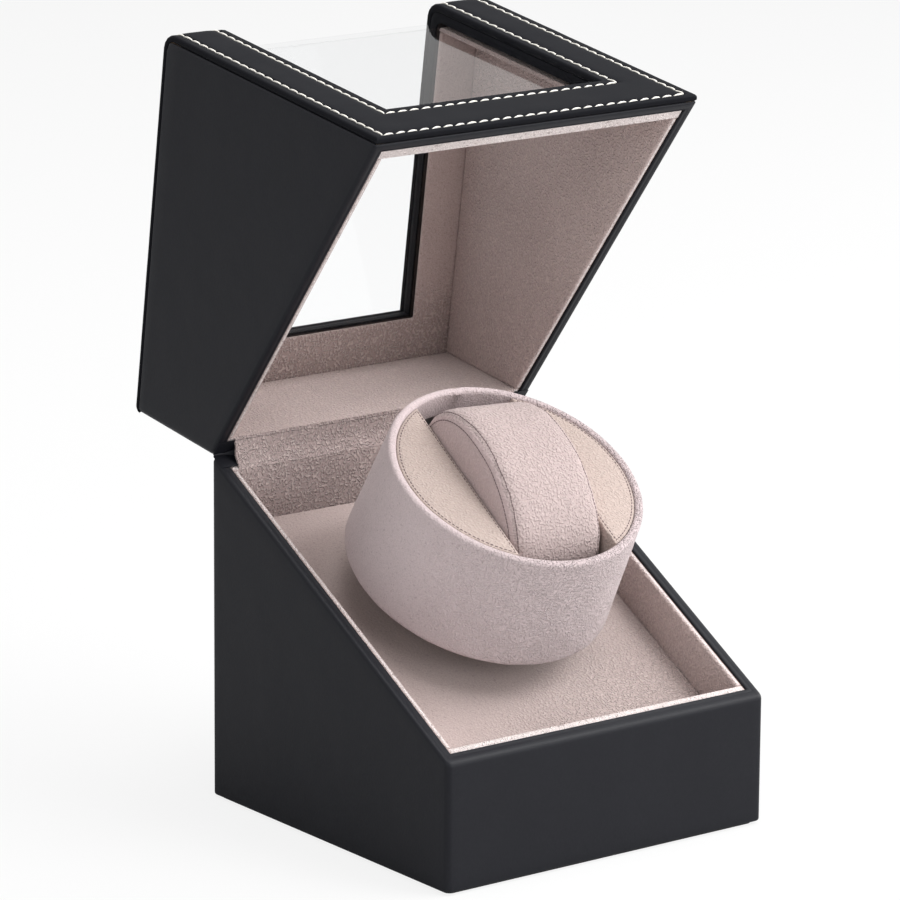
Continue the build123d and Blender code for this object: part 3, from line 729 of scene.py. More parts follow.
def finish_mesh(name: str, mesh: bpy.types.Mesh, body: str | None, smooth: float) -> bpy.types.Object:
    """Cleans a mesh, makes its object and lets it ride.

    Args:
        name: the piece's name.
        mesh: its mesh, in the box's frame in metres.
        body: the CAD body it rides on, or None.
        smooth: edges flatter than this many degrees shade smoothly.

    Returns:
        The new object.
    """
    work = bmesh.new()
    work.from_mesh(mesh)
    bmesh.ops.remove_doubles(work, verts=work.verts, dist=2e-6)
    bmesh.ops.recalc_face_normals(work, faces=work.faces)
    work.to_mesh(mesh)
    work.free()
    mesh.polygons.foreach_set("use_smooth", [True] * len(mesh.polygons))
    mesh.set_sharp_from_angle(angle=math.radians(smooth))
    mesh.update()
    piece = bpy.data.objects.new(name, mesh)
    bpy.context.scene.collection.objects.link(piece)
    if body:
        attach(piece, body)
    log.info("%s: %d faces on %s", name, len(mesh.polygons), body)
    return piece


FLAT_ANGLE = 0.6
SHARP_ANGLE = 25.0
# how closely a lining face must look along the rim to get the painted highlight
HIGHLIGHT_FACING = 0.98


def softened(
    node: str,
    name: str,
    finish: Finish,
    body: str,
    width: float,
    rim: Vector | None = None,
) -> bpy.types.Object:
    """Makes a piece from a CAD node with its edges rounded, and puts it in the node's place.

    Args:
        node: the CAD node.
        name: the piece's name.
        finish: its material.
        body: the body it rides on.
        width: how far the rounding reaches, in millimetres.
        rim: faces that look this way get the light lining-edge colour, a painted highlight on the cloth's
            folded edge.

    Returns:
        The new object.
    """
    mesh = frame["nodes"][node].data.copy()
    mesh.name = name
    mesh.materials.clear()
    mesh.materials.append(finish.made())
    if rim is not None:
        mesh.materials.append(Finish.lining_edge.made())
    work = bmesh.new()
    work.from_mesh(mesh)
    bmesh.ops.remove_doubles(work, verts=work.verts, dist=1e-6)
    flat, sharp = math.radians(FLAT_ANGLE), math.radians(SHARP_ANGLE)
    bmesh.ops.dissolve_limit(work, angle_limit=flat, verts=work.verts, edges=work.edges)
    edges = [e for e in work.edges if len(e.link_faces) == 2 and e.calc_face_angle() > sharp]
    bmesh.ops.bevel(
        work, geom=edges, offset=width * MM, segments=3, profile=0.5, affect="EDGES", clamp_overlap=True
    )
    work.normal_update()
    for face in work.faces:
        # faces that look along the rim get the light colour: painted highlight
        face.material_index = int(rim is not None and face.normal.dot(rim) > HIGHLIGHT_FACING)
    work.to_mesh(mesh)
    work.free()
    piece = finish_mesh(name, mesh, body, 50.0)
    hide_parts(node)
    return piece


@dataclass(frozen=True)
class Filling:
    """Stuffing that plumps a closed cloth form, by a cloth simulation under pressure."""

    cell: float = 2.4
    pressure: float = 4.0
    mass: float = 0.0015
    cap: float = 1.5
    frames: int = 20
    smoothing: int = 5

    @staticmethod
    def _bake(piece: bpy.types.Object) -> None:
        """Applies the piece's modifiers to its mesh.

        Args:
            piece: the piece.
        """
        shown = piece.evaluated_get(bpy.context.evaluated_depsgraph_get())
        mesh = bpy.data.meshes.new_from_object(shown)
        piece.modifiers.clear()
        piece.data = mesh

    def plump(self, piece: bpy.types.Object, held: Callable[[np.ndarray], np.ndarray]) -> None:
        """Evens out the mesh, fills it, caps how far it swells and subdivides it once.

        Args:
            piece: the closed form, a little smaller than the filled one.
            held: moves points, in millimetres, back to where the neighbouring pieces keep them.
        """
        cells = piece.modifiers.new("even_cells", "REMESH")
        cells.mode = "VOXEL"
        cells.voxel_size = self.cell * MM
        self._bake(piece)
        before = np.array([vertex.co for vertex in piece.data.vertices])
        cloth = piece.modifiers.new("filling", "CLOTH")
        cloth.settings.use_pressure = True
        cloth.settings.uniform_pressure_force = self.pressure
        cloth.settings.mass = self.mass
        cloth.settings.effector_weights.gravity = 0.0
        cloth.point_cache.frame_end = self.frames
        scene = bpy.context.scene
        for number in range(1, self.frames + 1):
            scene.frame_set(number)
        self._bake(piece)
        scene.frame_set(1)
        after = np.array([vertex.co for vertex in piece.data.vertices])
        way = after - before
        reach = np.linalg.norm(way, axis=1, keepdims=True)
        log.info("%s: swells by up to %.2f mm", piece.name, reach.max() / MM)
        after = before + way * np.minimum(1.0, self.cap * MM / np.maximum(reach, 1e-9))
        piece.data.vertices.foreach_set("co", (held(after / MM) * MM).ravel())
        rounder = piece.modifiers.new("rounder", "SMOOTH")
        rounder.iterations = self.smoothing
        smoother = piece.modifiers.new("smoother", "SUBSURF")
        smoother.levels = smoother.render_levels = 1
        self._bake(piece)
        piece.data.polygons.foreach_set("use_smooth", [True] * len(piece.data.polygons))


def wavering(point: Vector, size_mm: float, seed: float) -> float:
    """Smooth noise from -1 to 1.

    Args:
        point: where to read it, in millimetres.
        size_mm: how wide its swells are.
        seed: which pattern.

    Returns:
        The value.
    """
    return noise.noise(point / size_mm + Vector((seed, 3.7 * seed, -seed)))


def arc(count: int, start: float, end: float) -> list[tuple[float, float]]:
    """Cosines and sines of evenly spaced angles.

    Args:
        count: how many steps.
        start: first angle in degrees.
        end: last angle in degrees.

    Returns:
        Pairs of cosine and sine.
    """
    angles = [math.radians(start + (end - start) * i / count) for i in range(count + 1)]
    return [(math.cos(a), math.sin(a)) for a in angles]


@dataclass(frozen=True)
class SeamLine:
    """A line of small stitches that sink into the cloth."""

    pitch: float = 1.5
    share: float = 0.72
    radius: float = 0.17
    buried: float = 0.75
    sides: int = 6
    steps: int = 5

    def add(self, shape: Shape, path: Sequence[Vector], outs: Sequence[Vector], closed: bool) -> None:
        """Adds the stitches to a shape.

        Args:
            shape: takes the stitches.
            path: points along the line.
            outs: the way the cloth faces at each point.
            closed: whether the line runs round.
        """
        points = [*path, path[0]] if closed else list(path)
        ways = [*outs, outs[0]] if closed else list(outs)
        lengths = [0.0]
        for first, second in zip(points, points[1:]):
            lengths.append(lengths[-1] + (second - first).length)
        count = max(1, round(lengths[-1] / self.pitch))
        pitch = lengths[-1] / count
        flat = np.array([tuple(p) for p in points])
        facing = np.array([tuple(w) for w in ways])
        for index in range(count):
            rows = []
            for step in range(self.steps + 1):
                share = step / self.steps
                run = (index + 0.5 + (share - 0.5) * self.share) * pitch
                at, ahead, out = (
                    Vector([float(np.interp(run + more, lengths, column)) for column in columns.T])
                    for columns, more in ((flat, 0.0), (flat, 0.05), (facing, 0.0))
                )
                ahead = (ahead - at).normalized()
                across = ahead.cross(out).normalized()
                out = across.cross(ahead)
                centre = at + out * self.radius * (math.sin(math.pi * share) ** 0.5 - self.buried)
                turns = arc(self.sides, 0.0, 360.0)[:-1]
                rows.append([centre + (across * c + out * s) * self.radius for c, s in turns])
            shape.solid(rows)


# ---- Sizes that the sub-assemblies share ----


@dataclass(frozen=True)
class BoxSizes:
    """The carcass, in millimetres, with the lid shut."""

    half: float = 62.5
    back_height: float = 112.5
    front_height: float = 42.0
    height: float = 154.5
    rim_gap: float = 0.4
    open_angle: float = 81.9
    leather: float = 0.8
    wall: float = 4.0
    lining: float = 2.2
    felt: float = 0.8

    @property
    def slope(self) -> float:
        """Rise of the cut between base and lid for each millimetre back."""
        return (self.back_height - self.front_height) / (2 * self.half)

    @property
    def cosine(self) -> float:
        """Cosine of the cut's angle."""
        return 1.0 / math.hypot(1.0, self.slope)

    def rim(self, y: float, lift: float = 0.0) -> float:
        """Height of the cut at y, moved square to itself by lift."""
        return self.front_height + (y + self.half) * self.slope + lift / self.cosine

    @property
    def hinge(self) -> Vector:
        """A point on the hinge's axis, in millimetres."""
        return Vector((0.0, self.half, self.back_height + self.rim_gap / 2 / self.cosine))

    @property
    def base_rim_way(self) -> Vector:
        """The way the base's rim faces."""
        return Vector((0.0, -self.slope * self.cosine, self.cosine))

    @property
    def lid_rim_way(self) -> Vector:
        """The way the open lid's rim faces."""
        return Matrix.Rotation(math.radians(-self.open_angle), 3, "X") @ -self.base_rim_way

    def lid_matrix(self) -> Matrix:
        """Swings the shut lid open, in metres."""
        away = Matrix.Translation(self.hinge * MM)
        return away @ Matrix.Rotation(math.radians(-self.open_angle), 4, "X") @ away.inverted()

    def drum_matrix(self, turn: float, up_slope: float) -> Matrix:
        """Places a shape made along the drum's axis, in metres.

        Args:
            turn: the drum's rest angle about its axis, in degrees.
            up_slope: how far up the cut its axis stands from the middle.

        Returns:
            The placing matrix.
        """
        sine = self.slope * self.cosine
        axis = Vector((0.0, -sine, self.cosine))
        up = Vector((0.0, self.cosine, sine))
        middle = (self.front_height + self.back_height) / 2
        origin = Vector((0.0, up_slope * self.cosine, middle + up_slope * sine))
        columns = Matrix((Vector((1.0, 0.0, 0.0)), up, axis)).transposed().to_4x4()
        spin = Matrix.Rotation(math.radians(turn), 4, "Z")
        return Matrix.Translation(origin * MM) @ columns @ spin


SIZES = BoxSizes()


# ---- Leather wraps ----


@dataclass
class Station:
    """One upright section of a wrap: where it is and which way is in."""

    at: Vector
    corner: Vector | None = None
    radius: float = 0.0
    diagonal: Vector = field(default_factory=lambda: Vector((0.0, 0.0)))
    inward: Vector = field(default_factory=lambda: Vector((0.0, 0.0)))

    def inset(self, depth: float) -> Vector:
        """Moves in from the outer face, mitred at the corners.

        Args:
            depth: how far.

        Returns:
            The point.
        """
        if self.corner is None:
            return self.at + self.inward * depth
        if depth <= self.radius:
            return self.corner + (self.at - self.corner) * ((self.radius - depth) / self.radius)
        return self.corner + self.diagonal * (depth - self.radius)


@dataclass
class Wrap:
    """Leather drawn round four walls and folded over their slanted rim."""

    sizes: BoxSizes = SIZES
    front_radius: float = 2.0
    back_radius: float = 2.0
    rim_outer: float = 1.15
    rim_inner: float = 0.6
    side_steps: int = 44
    row_steps: int = 16
    corner_steps: int = 7
    creases: tuple[tuple[float, float], ...] = ((2.2, 0.03), (2.55, -0.10), (2.9, 0.02))

    def stations(self) -> list[Station]:
        """Sections round the box, starting at the front left and going right.

        Returns:
            The sections.
        """
        half = self.sizes.half
        found: list[Station] = []
        corners = [(-1, -1), (1, -1), (1, 1), (-1, 1)]
        for index, (sx, sy) in enumerate(corners):
            radius = self.front_radius if sy < 0 else self.back_radius
            centre = Vector((sx * (half - radius), sy * (half - radius)))
            start = -180.0 + 90.0 * index
            for cosine, sine in arc(self.corner_steps, start, start + 90.0):
                at = centre + Vector((cosine, sine)) * radius
                found.append(Station(at, centre, radius, Vector((-sx, -sy))))
            nx, ny = corners[(index + 1) % 4]
            next_radius = self.front_radius if ny < 0 else self.back_radius
            end = Vector((nx * half, ny * half))
            along = Vector((nx - sx, ny - sy)) / 2
            inward = Vector((-along.y, along.x))
            first = found[-1].at
            last = end - along * next_radius
            last = Vector((last.x if along.x else first.x, last.y if along.y else first.y))
            for step in range(1, self.side_steps):
                at = first.lerp(last, step / self.side_steps)
                found.append(Station(at, inward=inward))
        return found

    def row(self, stations: Sequence[Station], depth: float, height: Callable[[float], float]) -> list[Point]:
        """One ring of points.

        Args:
            stations: the sections.
            depth: how far inside the outer face.
            height: gives z for a y.

        Returns:
            The ring.
        """
        ring = []
        for station in stations:
            at = station.inset(depth)
            ring.append((at.x, at.y, height(at.y)))
        return ring


@dataclass
class BaseWrap(Wrap):
    """Leather of the base, turned in underneath."""

    turn_under: float = 12.0
    foot_radius: float = 0.9

    def build(self) -> bpy.types.Object:
        """Makes the closed skin, thickness and all.

        Returns:
            The piece.
        """
        s = self.sizes
        stations = self.stations()
        low, foot, rim = s.felt, self.foot_radius, self.rim_outer
        edge, inner = s.wall, self.rim_inner
        profile: list[tuple[float, Callable[[float], float]]] = [(self.turn_under, lambda y: low)]
        for cosine, sine in arc(5, 90.0, 0.0):
            profile.append((foot * (1 - cosine), lambda y, k=sine: low + foot * (1 - k)))
        for step in range(1, self.row_steps):
            share = step / self.row_steps
            profile.append((0.0, lambda y, k=share: low + foot + k * (s.rim(y, -rim) - low - foot)))
        for cosine, sine in arc(6, 0.0, 90.0):
            profile.append((rim * (1 - cosine), lambda y, k=sine: s.rim(y, -rim * (1 - k))))
        for depth, lift in self.creases:
            profile.append((depth, lambda y, k=lift: s.rim(y, k)))
        for cosine, sine in arc(4, 90.0, 0.0):
            profile.append((edge - inner + inner * cosine, lambda y, k=sine: s.rim(y, -inner * (1 - k))))
        profile += [(edge, lambda y: s.rim(y, -s.leather)), (s.leather, lambda y: s.rim(y, -s.leather))]
        profile += [(s.leather, lambda y: low + s.leather), (self.turn_under, lambda y: low + s.leather)]
        shape = Shape()
        shape.rings([self.row(stations, depth, height) for depth, height in profile], round_trip=True)
        piece = shape.made("base_wrap", [Finish.leatherette_black], "base", smooth=60.0)
        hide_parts("base_leather")
        return piece


@dataclass
class LidWrap(Wrap):
    """Leather of the lid's sides and back, folded over its rim; made shut."""

    front_radius: float = 0.7
    top_radius: float = 0.9
    corner: float = 3.0
    front_lap: float = 3.0
    front_wall: float = 3.2

    def top(self, y: float) -> float:
        """Height of the side's upper edge, which rounds down at the front.

        Args:
            y: place from front to back.

        Returns:
            The height.
        """
        s = self.sizes
        turn = -s.half + self.corner
        if y >= turn:
            return s.height
        reach = min(self.corner, turn - y)
        return s.height - self.corner + math.sqrt(self.corner**2 - reach**2)

    def build(self) -> bpy.types.Object:
        """Makes the closed skin.

        Returns:
            The piece.
        """
        s = self.sizes
        stations = self.stations()
        half = s.half

        def at_front(station: Station) -> bool:
            """Whether a section stands on the flat front."""
            return station.corner is None and station.at.y < -half + NEAR

        def ring(
            depth: float, height: Callable[[float], float], front: Callable[[float], float], reach: float
        ) -> list[Point]:
            """One ring of points, with a height of its own at the front.

            Args:
                depth: how far inside the outer face.
                height: gives z for a y.
                front: gives z for a y at the front.
                reach: the greatest depth at the front.

            Returns:
                The ring.
            """
            points = []
            for station in stations:
                front_run = at_front(station)
                at = station.inset(min(depth, reach) if front_run else depth)
                points.append((at.x, at.y, front(at.y) if front_run else height(at.y)))
            return points

        def low(lift: float) -> Callable[[float], float]:
            """The lid's rim, moved square to itself by lift."""
            return lambda y: s.rim(y, s.rim_gap + lift)

        rim, inner, wall, skin, lap = self.rim_outer, self.rim_inner, s.wall, s.leather, self.front_lap
        front_in = self.front_wall
        rows = [ring(wall, low(skin), low(skin), front_in)]
        for cosine, sine in arc(4, 0.0, 90.0):
            fold = low(inner * (1 - sine))
            rows.append(ring(wall - inner + inner * cosine, fold, fold, front_in - inner * (1 - cosine)))
        for depth, lift in reversed(self.creases):
            rows.append(ring(depth, low(-lift), low(-lift), depth))
        for cosine, sine in arc(6, 90.0, 0.0):
            fold = low(rim * (1 - sine))
            rows.append(ring(rim * (1 - cosine), fold, fold, rim))
        edge = self.top_radius
        for step in range(1, self.row_steps):
            share = step / self.row_steps
            rows.append(
                ring(
                    0.0,
                    lambda y, k=share: s.rim(y, s.rim_gap + rim) * (1 - k) + (self.top(y) - edge) * k,
                    lambda y, k=share: s.rim(y, s.rim_gap + rim + lap * k),
                    0.0,
                )
            )
        for cosine, sine in arc(4, 0.0, 90.0):
            depth = edge * (1 - cosine)
            rows.append(ring(depth, lambda y, k=sine: self.top(y) - edge * (1 - k), low(rim + lap), 0.0))
        rows.append(ring(skin, self.top, low(rim + lap), skin))
        rows.append(ring(skin, low(skin), low(skin), skin))
        shape = Shape()
        shape.rings(rows, round_trip=True)
        piece = shape.made("lid_wrap", [Finish.leatherette_black], "lid", s.lid_matrix(), 60.0)
        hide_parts("lid_leather")
        return piece


# ---- Stitched frame and its thread ----


@dataclass
class StitchedFrame:
    """Padded leather bent over the lid's corner round the window, with two rows of thread; made shut."""

    sizes: BoxSizes = SIZES
    half_width: float = 62.2
    start_gap: float = 0.3
    thickness: float = 2.25
    corner: float = 3.0
    window_half: float = 41.5
    window_front: float = 66.0
    window_back: float = 42.0
    edge: float = 1.0
    back_edge: float = 2.1
    under_edge: float = 0.55
    crease: float = 0.35
    crease_share: float = 0.30
    turn_in: float = 0.8
    front_wall: float = 3.2
    pane_bend: float = 3.0
    outer_row_side: float = 3.7
    outer_row_front: float = 2.3
    outer_row_back: float = 3.7
    inner_row: float = 3.7
    dip: float = 0.42
    dip_width: float = 0.62
    puff: float = 0.22
    pitch: float = 4.45
    thread: float = 0.335
    stitch_share: float = 0.99
    slant: float = 0.34
    run_step: float = 1.1
    least_step: float = 0.45
    unevenness: tuple[float, float, float] = (0.05, 9.0, 2.0)
    wall_shares: tuple[float, ...] = (0.12, 0.25, 0.30, 0.36, 0.7)
    near_edge: tuple[float, ...] = (0.08, 0.22, 0.42, 0.66, 0.95, 1.3, 1.7, 2.1)
    near_row: tuple[float, ...] = (0.12, 0.3, 0.5, 0.75, 1.1)
    sink: float = 0.45
    fullness: float = 0.34
    ply: float = 0.13
    twist: float = 9.0
    flatness: float = 0.86
    stand: float = 0.95
    end_size: float = 0.55
    end_swell: float = 2.2
    lean_spread: float = 0.25
    length_spread: float = 0.03
    thread_steps: int = 10
    thread_sides: int = 10
    seed: int = 11

    @property
    def start(self) -> float:
        """Height of the frame's front edge."""
        return self.sizes.rim(-self.sizes.half, self.sizes.rim_gap) + self.start_gap

    @property
    def front_run(self) -> float:
        """Length of the flat front."""
        return self.sizes.height - self.corner - self.start

    @property
    def bend_run(self) -> float:
        """Length of the bend along the carcass."""
        return self.corner * math.pi / 2

    @property
    def length(self) -> float:
        """Whole length, front edge to back edge."""
        return self.front_run + self.bend_run + 2 * self.sizes.half - self.corner

    @property
    def window_low(self) -> float:
        """Where the window starts along the length."""
        return self.window_front - self.start

    @property
    def window_high(self) -> float:
        """Where the window ends along the length."""
        return self.front_run + self.bend_run + self.window_back + self.sizes.half - self.corner

    def on_carcass(self, along: float) -> tuple[Vector, Vector]:
        """Point and outward direction at a length along the carcass, at x = 0.

        Args:
            along: length from the front edge.

        Returns:
            The point and the direction.
        """
        s = self.sizes
        if along <= self.front_run:
            return Vector((0, -s.half, self.start + along)), Vector((0, -1, 0))
        if along <= self.front_run + self.bend_run:
            angle = (along - self.front_run) / self.corner
            out = Vector((0, -math.cos(angle), math.sin(angle)))
            return Vector((0, -s.half + self.corner, s.height - self.corner)) + out * self.corner, out
        rest = along - self.front_run - self.bend_run
        return Vector((0, -s.half + self.corner + rest, s.height)), Vector((0, 0, 1))

    def forward(self, along: float) -> Vector:
        """The way the frame runs at a length along the carcass."""
        _, out = self.on_carcass(along)
        return Vector((0.0, out.z, -out.y))

    def on_pane(self, along: float) -> Vector:
        """Point of the pane's outer face under a length along the frame, at x = 0.

        Args:
            along: length from the front edge.

        Returns:
            The point.
        """
        s = self.sizes
        front, top = -s.half + self.front_wall, s.height - self.front_wall
        first = top - self.pane_bend - self.start
        last = self.front_run + self.bend_run + (front + self.pane_bend) + s.half - self.corner
        if along <= first:
            return Vector((0, front, self.start + along))
        if along >= last:
            point, _ = self.on_carcass(along)
            return Vector((0, point.y, top))
        angle = math.pi / 2 * (along - first) / (last - first)
        centre = Vector((0, front + self.pane_bend, top - self.pane_bend))
        return centre + Vector((0, -math.cos(angle), math.sin(angle))) * self.pane_bend

    def outer_gap(self, u: float, v: float) -> float:
        """Distance to the frame's side and front edges."""
        return min(u + self.half_width, self.half_width - u, v)

    def inner_gap(self, u: float, v: float) -> float:
        """Distance to the window's edge."""
        return max(abs(u) - self.window_half, self.window_low - v, v - self.window_high)

    def rows(self) -> list[tuple[float, float, float]]:
        """Half width, start and end of each thread row.

        Returns:
            The outer row's and the inner row's.
        """
        outer_half, off = self.half_width - self.outer_row_side, self.inner_row
        return [
            (outer_half, self.outer_row_front, self.length - self.outer_row_back),
            (self.window_half + off, self.window_low - off, self.window_high + off),
        ]

    def height(self, u: float, v: float) -> float:
        """How far the leather stands over the carcass.

        Args:
            u: place across.
            v: place along.

        Returns:
            The height.
        """
        gaps = (
            (self.outer_gap(u, v), self.edge),
            (self.inner_gap(u, v), self.edge),
            (self.length - v, self.back_edge),
        )
        level = self.thickness
        for gap, radius in gaps:
            if gap < radius:
                level -= radius - math.sqrt(max(0.0, radius**2 - (radius - max(gap, 0.0)) ** 2))
        (wide_o, low_o, high_o), (wide_i, low_i, high_i) = self.rows()
        from_outer = max(abs(u) - wide_o, low_o - v, v - high_o)
        from_inner = max(abs(u) - wide_i, low_i - v, v - high_i)
        for gap in (from_outer, from_inner):
            level -= self.dip * math.exp(-((gap / self.dip_width) ** 2))
        if from_outer < 0 < from_inner:
            span = from_inner - from_outer
            level += self.puff * (1 - (2 * from_inner / span - 1) ** 4)
        rise, wide, pattern = self.unevenness
        return level + rise * wavering(Vector((u, v, 0)), wide, pattern)

    def bent(self, u: float, v: float, level: float) -> Vector:
        """The point at a height over the carcass."""
        point, out = self.on_carcass(v)
        return Vector((u, point.y, point.z)) + out * level

    def lines(
        self, low: float, inner_low: float, inner_high: float, high: float, marks: Sequence[float]
    ) -> list[float]:
        """Grid lines across the frame, close together where it curves.

        Args:
            low: outer edge.
            inner_low: window's first edge.
            inner_high: window's second edge.
            high: other outer edge.
            marks: where thread rows run.

        Returns:
            The lines in order.
        """
        found = {low, inner_low, inner_high, high, inner_low - self.turn_in, inner_high + self.turn_in}
        for edge, way in ((low, 1), (inner_low, -1), (inner_high, 1), (high, -1)):
            found.update(edge + way * k for k in self.near_edge)
        for mark in marks:
            found.update(mark + way * k for k in self.near_row for way in (-1, 1))
        count = int((high - low) / self.run_step)
        spaced = [low + (high - low) * k / count for k in range(1, count)]
        close = sorted(found)
        for line in spaced:
            if min(abs(line - other) for other in close) > self.least_step * self.run_step:
                found.add(line)
        return sorted(found)

    def build(self) -> bpy.types.Object:
        """Makes the frame with its turned-in window walls and flat back.

        Returns:
            The piece.
        """
        (wide_o, low_o, high_o), (wide_i, low_i, high_i) = self.rows()
        half, window, first, last = self.half_width, self.window_half, self.window_low, self.window_high
        across = self.lines(-half, -window, window, half, (-wide_o, -wide_i, wide_i, wide_o))
        along = self.lines(0.0, first, last, self.length, (low_o, low_i, high_i, high_o))
        shape = Shape()
        numbers: dict[tuple[int, int, str], int] = {}

        def number(i: int, j: int, layer: str) -> int:
            """Number of a grid point, which is added at its first use.

            Args:
                i: which line across.
                j: which line along.
                layer: face, waist, back or pane, or a share of the way from face to pane.

            Returns:
                The number.
            """
            key = (i, j, layer)
            if key not in numbers:
                u, v = across[i], along[j]
                if layer == "face":
                    point = self.bent(u, v, self.height(u, v))
                elif layer == "waist":
                    point = self.bent(u, v, min(self.under_edge, self.height(u, v)))
                elif layer == "back":
                    inset = self.under_edge
                    held = max(-half + inset, min(half - inset, u))
                    point = self.bent(held, max(v, inset), 0.0)
                else:
                    share = 1.0 if layer == "pane" else float(layer)
                    out_u = out_v = 0.0
                    if share == self.crease_share:
                        out_u = math.copysign(self.crease, u) if abs(u) > window - NEAR else 0.0
                        out_v = -self.crease if abs(v - first) < NEAR else 0.0
                        out_v += self.crease if abs(v - last) < NEAR else 0.0
                    under = self.on_pane(v)
                    top = self.bent(u, v, self.height(u, v))
                    point = top.lerp(Vector((u, under.y, under.z)), share)
                    point += Vector((out_u, 0.0, 0.0)) + self.forward(v) * out_v
                numbers[key] = shape.add([point])[0]
            return numbers[key]

        def gap(i: int, j: int) -> float:
            """Distance from the middle of a cell to the window's edge."""
            return self.inner_gap((across[i] + across[i + 1]) / 2, (along[j] + along[j + 1]) / 2)

        def quad(i: int, j: int, layer: str) -> None:
            """Adds one cell in a layer."""
            shape.face([number(a, b, layer) for a, b in ((i, j), (i + 1, j), (i + 1, j + 1), (i, j + 1))])

        def wall(one: tuple[int, int], other: tuple[int, int], layers: Sequence[str]) -> None:
            """Adds a wall from layer to layer along one side of a cell.

            Args:
                one: lines of one corner.
                other: lines of the other corner.
                layers: from the face down.
            """
            for upper, lower in zip(layers, layers[1:]):
                corners = ((one, upper), (other, upper), (other, lower), (one, lower))
                shape.face([number(*corner, layer) for corner, layer in corners])

        columns, lengths = len(across) - 1, len(along) - 1
        kept = {(i, j): gap(i, j) for i in range(columns) for j in range(lengths)}
        for (i, j), distance in kept.items():
            if distance <= 0:
                continue
            quad(i, j, "face")
            turned = distance < self.turn_in
            quad(i, j, "pane" if turned else "back")
            for (a, b), edge in (
                ((i - 1, j), ((i, j), (i, j + 1))),
                ((i + 1, j), ((i + 1, j), (i + 1, j + 1))),
                ((i, j - 1), ((i, j), (i + 1, j))),
                ((i, j + 1), ((i, j + 1), (i + 1, j + 1))),
            ):
                beside = kept.get((a, b))
                if beside is None:
                    wall(*edge, ("face", "waist", "back"))
                elif beside <= 0:
                    wall(*edge, ("face", *map(str, self.wall_shares), "pane"))
                elif turned and beside >= self.turn_in:
                    wall(*edge, ("back", "pane"))
        place = self.sizes.lid_matrix()
        # the frame wears the darker leatherette copy, whose colour is painted shade
        piece = shape.made("lid_stitched_frame", [Finish.leatherette_frame], "lid", place, 60.0)
        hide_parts("lid_leather_frame")
        return piece

    def runs(self) -> list[tuple[Vector, Vector]]:
        """Start and end of each straight run of thread, in the flat.

        Returns:
            Pairs of points.
        """
        found = []
        for wide, low, high in self.rows():
            corners = [Vector((-wide, low)), Vector((wide, low)), Vector((wide, high)), Vector((-wide, high))]
            found += list(zip(corners, corners[1:] + corners[:1]))
        return found

    def build_thread(self) -> bpy.types.Object:
        """Makes every stitch as an arched, two-ply length of thread that dives into the leather.

        Returns:
            The piece.
        """
        shape = Shape()
        rng = np.random.default_rng(self.seed)
        ground = self.thickness - self.dip
        for start, end in self.runs():
            span = (end - start).length
            count = max(2, round(span / self.pitch))
            along = (end - start).normalized()
            across = Vector((-along.y, along.x))
            pitch = span / count
            for index in range(count):
                lean = self.slant * (1 + self.lean_spread * rng.uniform(-1, 1))
                length = pitch * self.stitch_share * (1 + self.length_spread * rng.uniform(-1, 1))
                middle = start + along * ((index + 0.5) * pitch)
                rows = []
                for step in range(self.thread_steps + 1):
                    share = step / self.thread_steps
                    side = lean * math.sin((share - 0.5) * math.pi * 0.9)
                    flat = middle + along * ((share - 0.5) * length) + across * side
                    bow = math.sin(math.pi * share) ** self.fullness
                    lift = ground - self.sink + bow * (self.sink + self.thread * self.stand)
                    centre = self.bent(flat.x, flat.y, lift)
                    _, out = self.on_carcass(flat.y)
                    ahead = self.bent(flat.x + along.x * 0.1, flat.y + along.y * 0.1, lift) - centre
                    ahead.normalize()
                    sideways = ahead.cross(out).normalized()
                    out = sideways.cross(ahead).normalized()
                    thin = self.thread * min(1.0, self.end_size + self.end_swell * min(share, 1 - share))
                    ring = []
                    for k in range(self.thread_sides):
                        angle = 2 * math.pi * k / self.thread_sides
                        radius = thin * (1 + self.ply * math.cos(2 * angle - share * self.twist))
                        turned = sideways * math.cos(angle) + out * math.sin(angle) * self.flatness
                        ring.append(centre + turned * radius)
                    rows.append(ring)
                shape.solid(rows)
        return shape.made("lid_stitching", [Finish.thread], "lid", self.sizes.lid_matrix(), 80.0)


@dataclass
class Pane:
    """Clear sheet bent once behind the frame; made shut."""

    sizes: BoxSizes = SIZES
    frame: StitchedFrame = field(default_factory=StitchedFrame)
    thickness: float = 1.4
    lap: float = 8.0
    end_lap: float = 6.0
    bend_steps: int = 12

    def build(self) -> bpy.types.Object:
        """Makes the sheet with polished, square edges.

        Returns:
            The piece.
        """
        f, s = self.frame, self.sizes
        front, top = -s.half + f.front_wall, s.height - f.front_wall
        centre = (front + f.pane_bend, top - f.pane_bend)
        low, back = f.window_front - self.end_lap, f.window_back + self.end_lap
        half = f.window_half + self.lap
        outer = [(front, low)]
        inner = [(front + self.thickness, low)]
        for cosine, sine in arc(self.bend_steps, 180.0, 90.0):
            outer.append((centre[0] + cosine * f.pane_bend, centre[1] + sine * f.pane_bend))
            tight = f.pane_bend - self.thickness
            inner.append((centre[0] + cosine * tight, centre[1] + sine * tight))
        outer.append((back, top))
        inner.append((back, top - self.thickness))
        shape = Shape()
        shape.sheet([[(x, y, z) for y, z in outer + inner[::-1]] for x in (-half, half)])
        piece = shape.made("lid_pane", [Finish.clear_acrylic], "lid", s.lid_matrix(), 30.0)
        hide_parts("lid_window")
        return piece


# ---- Linings ----


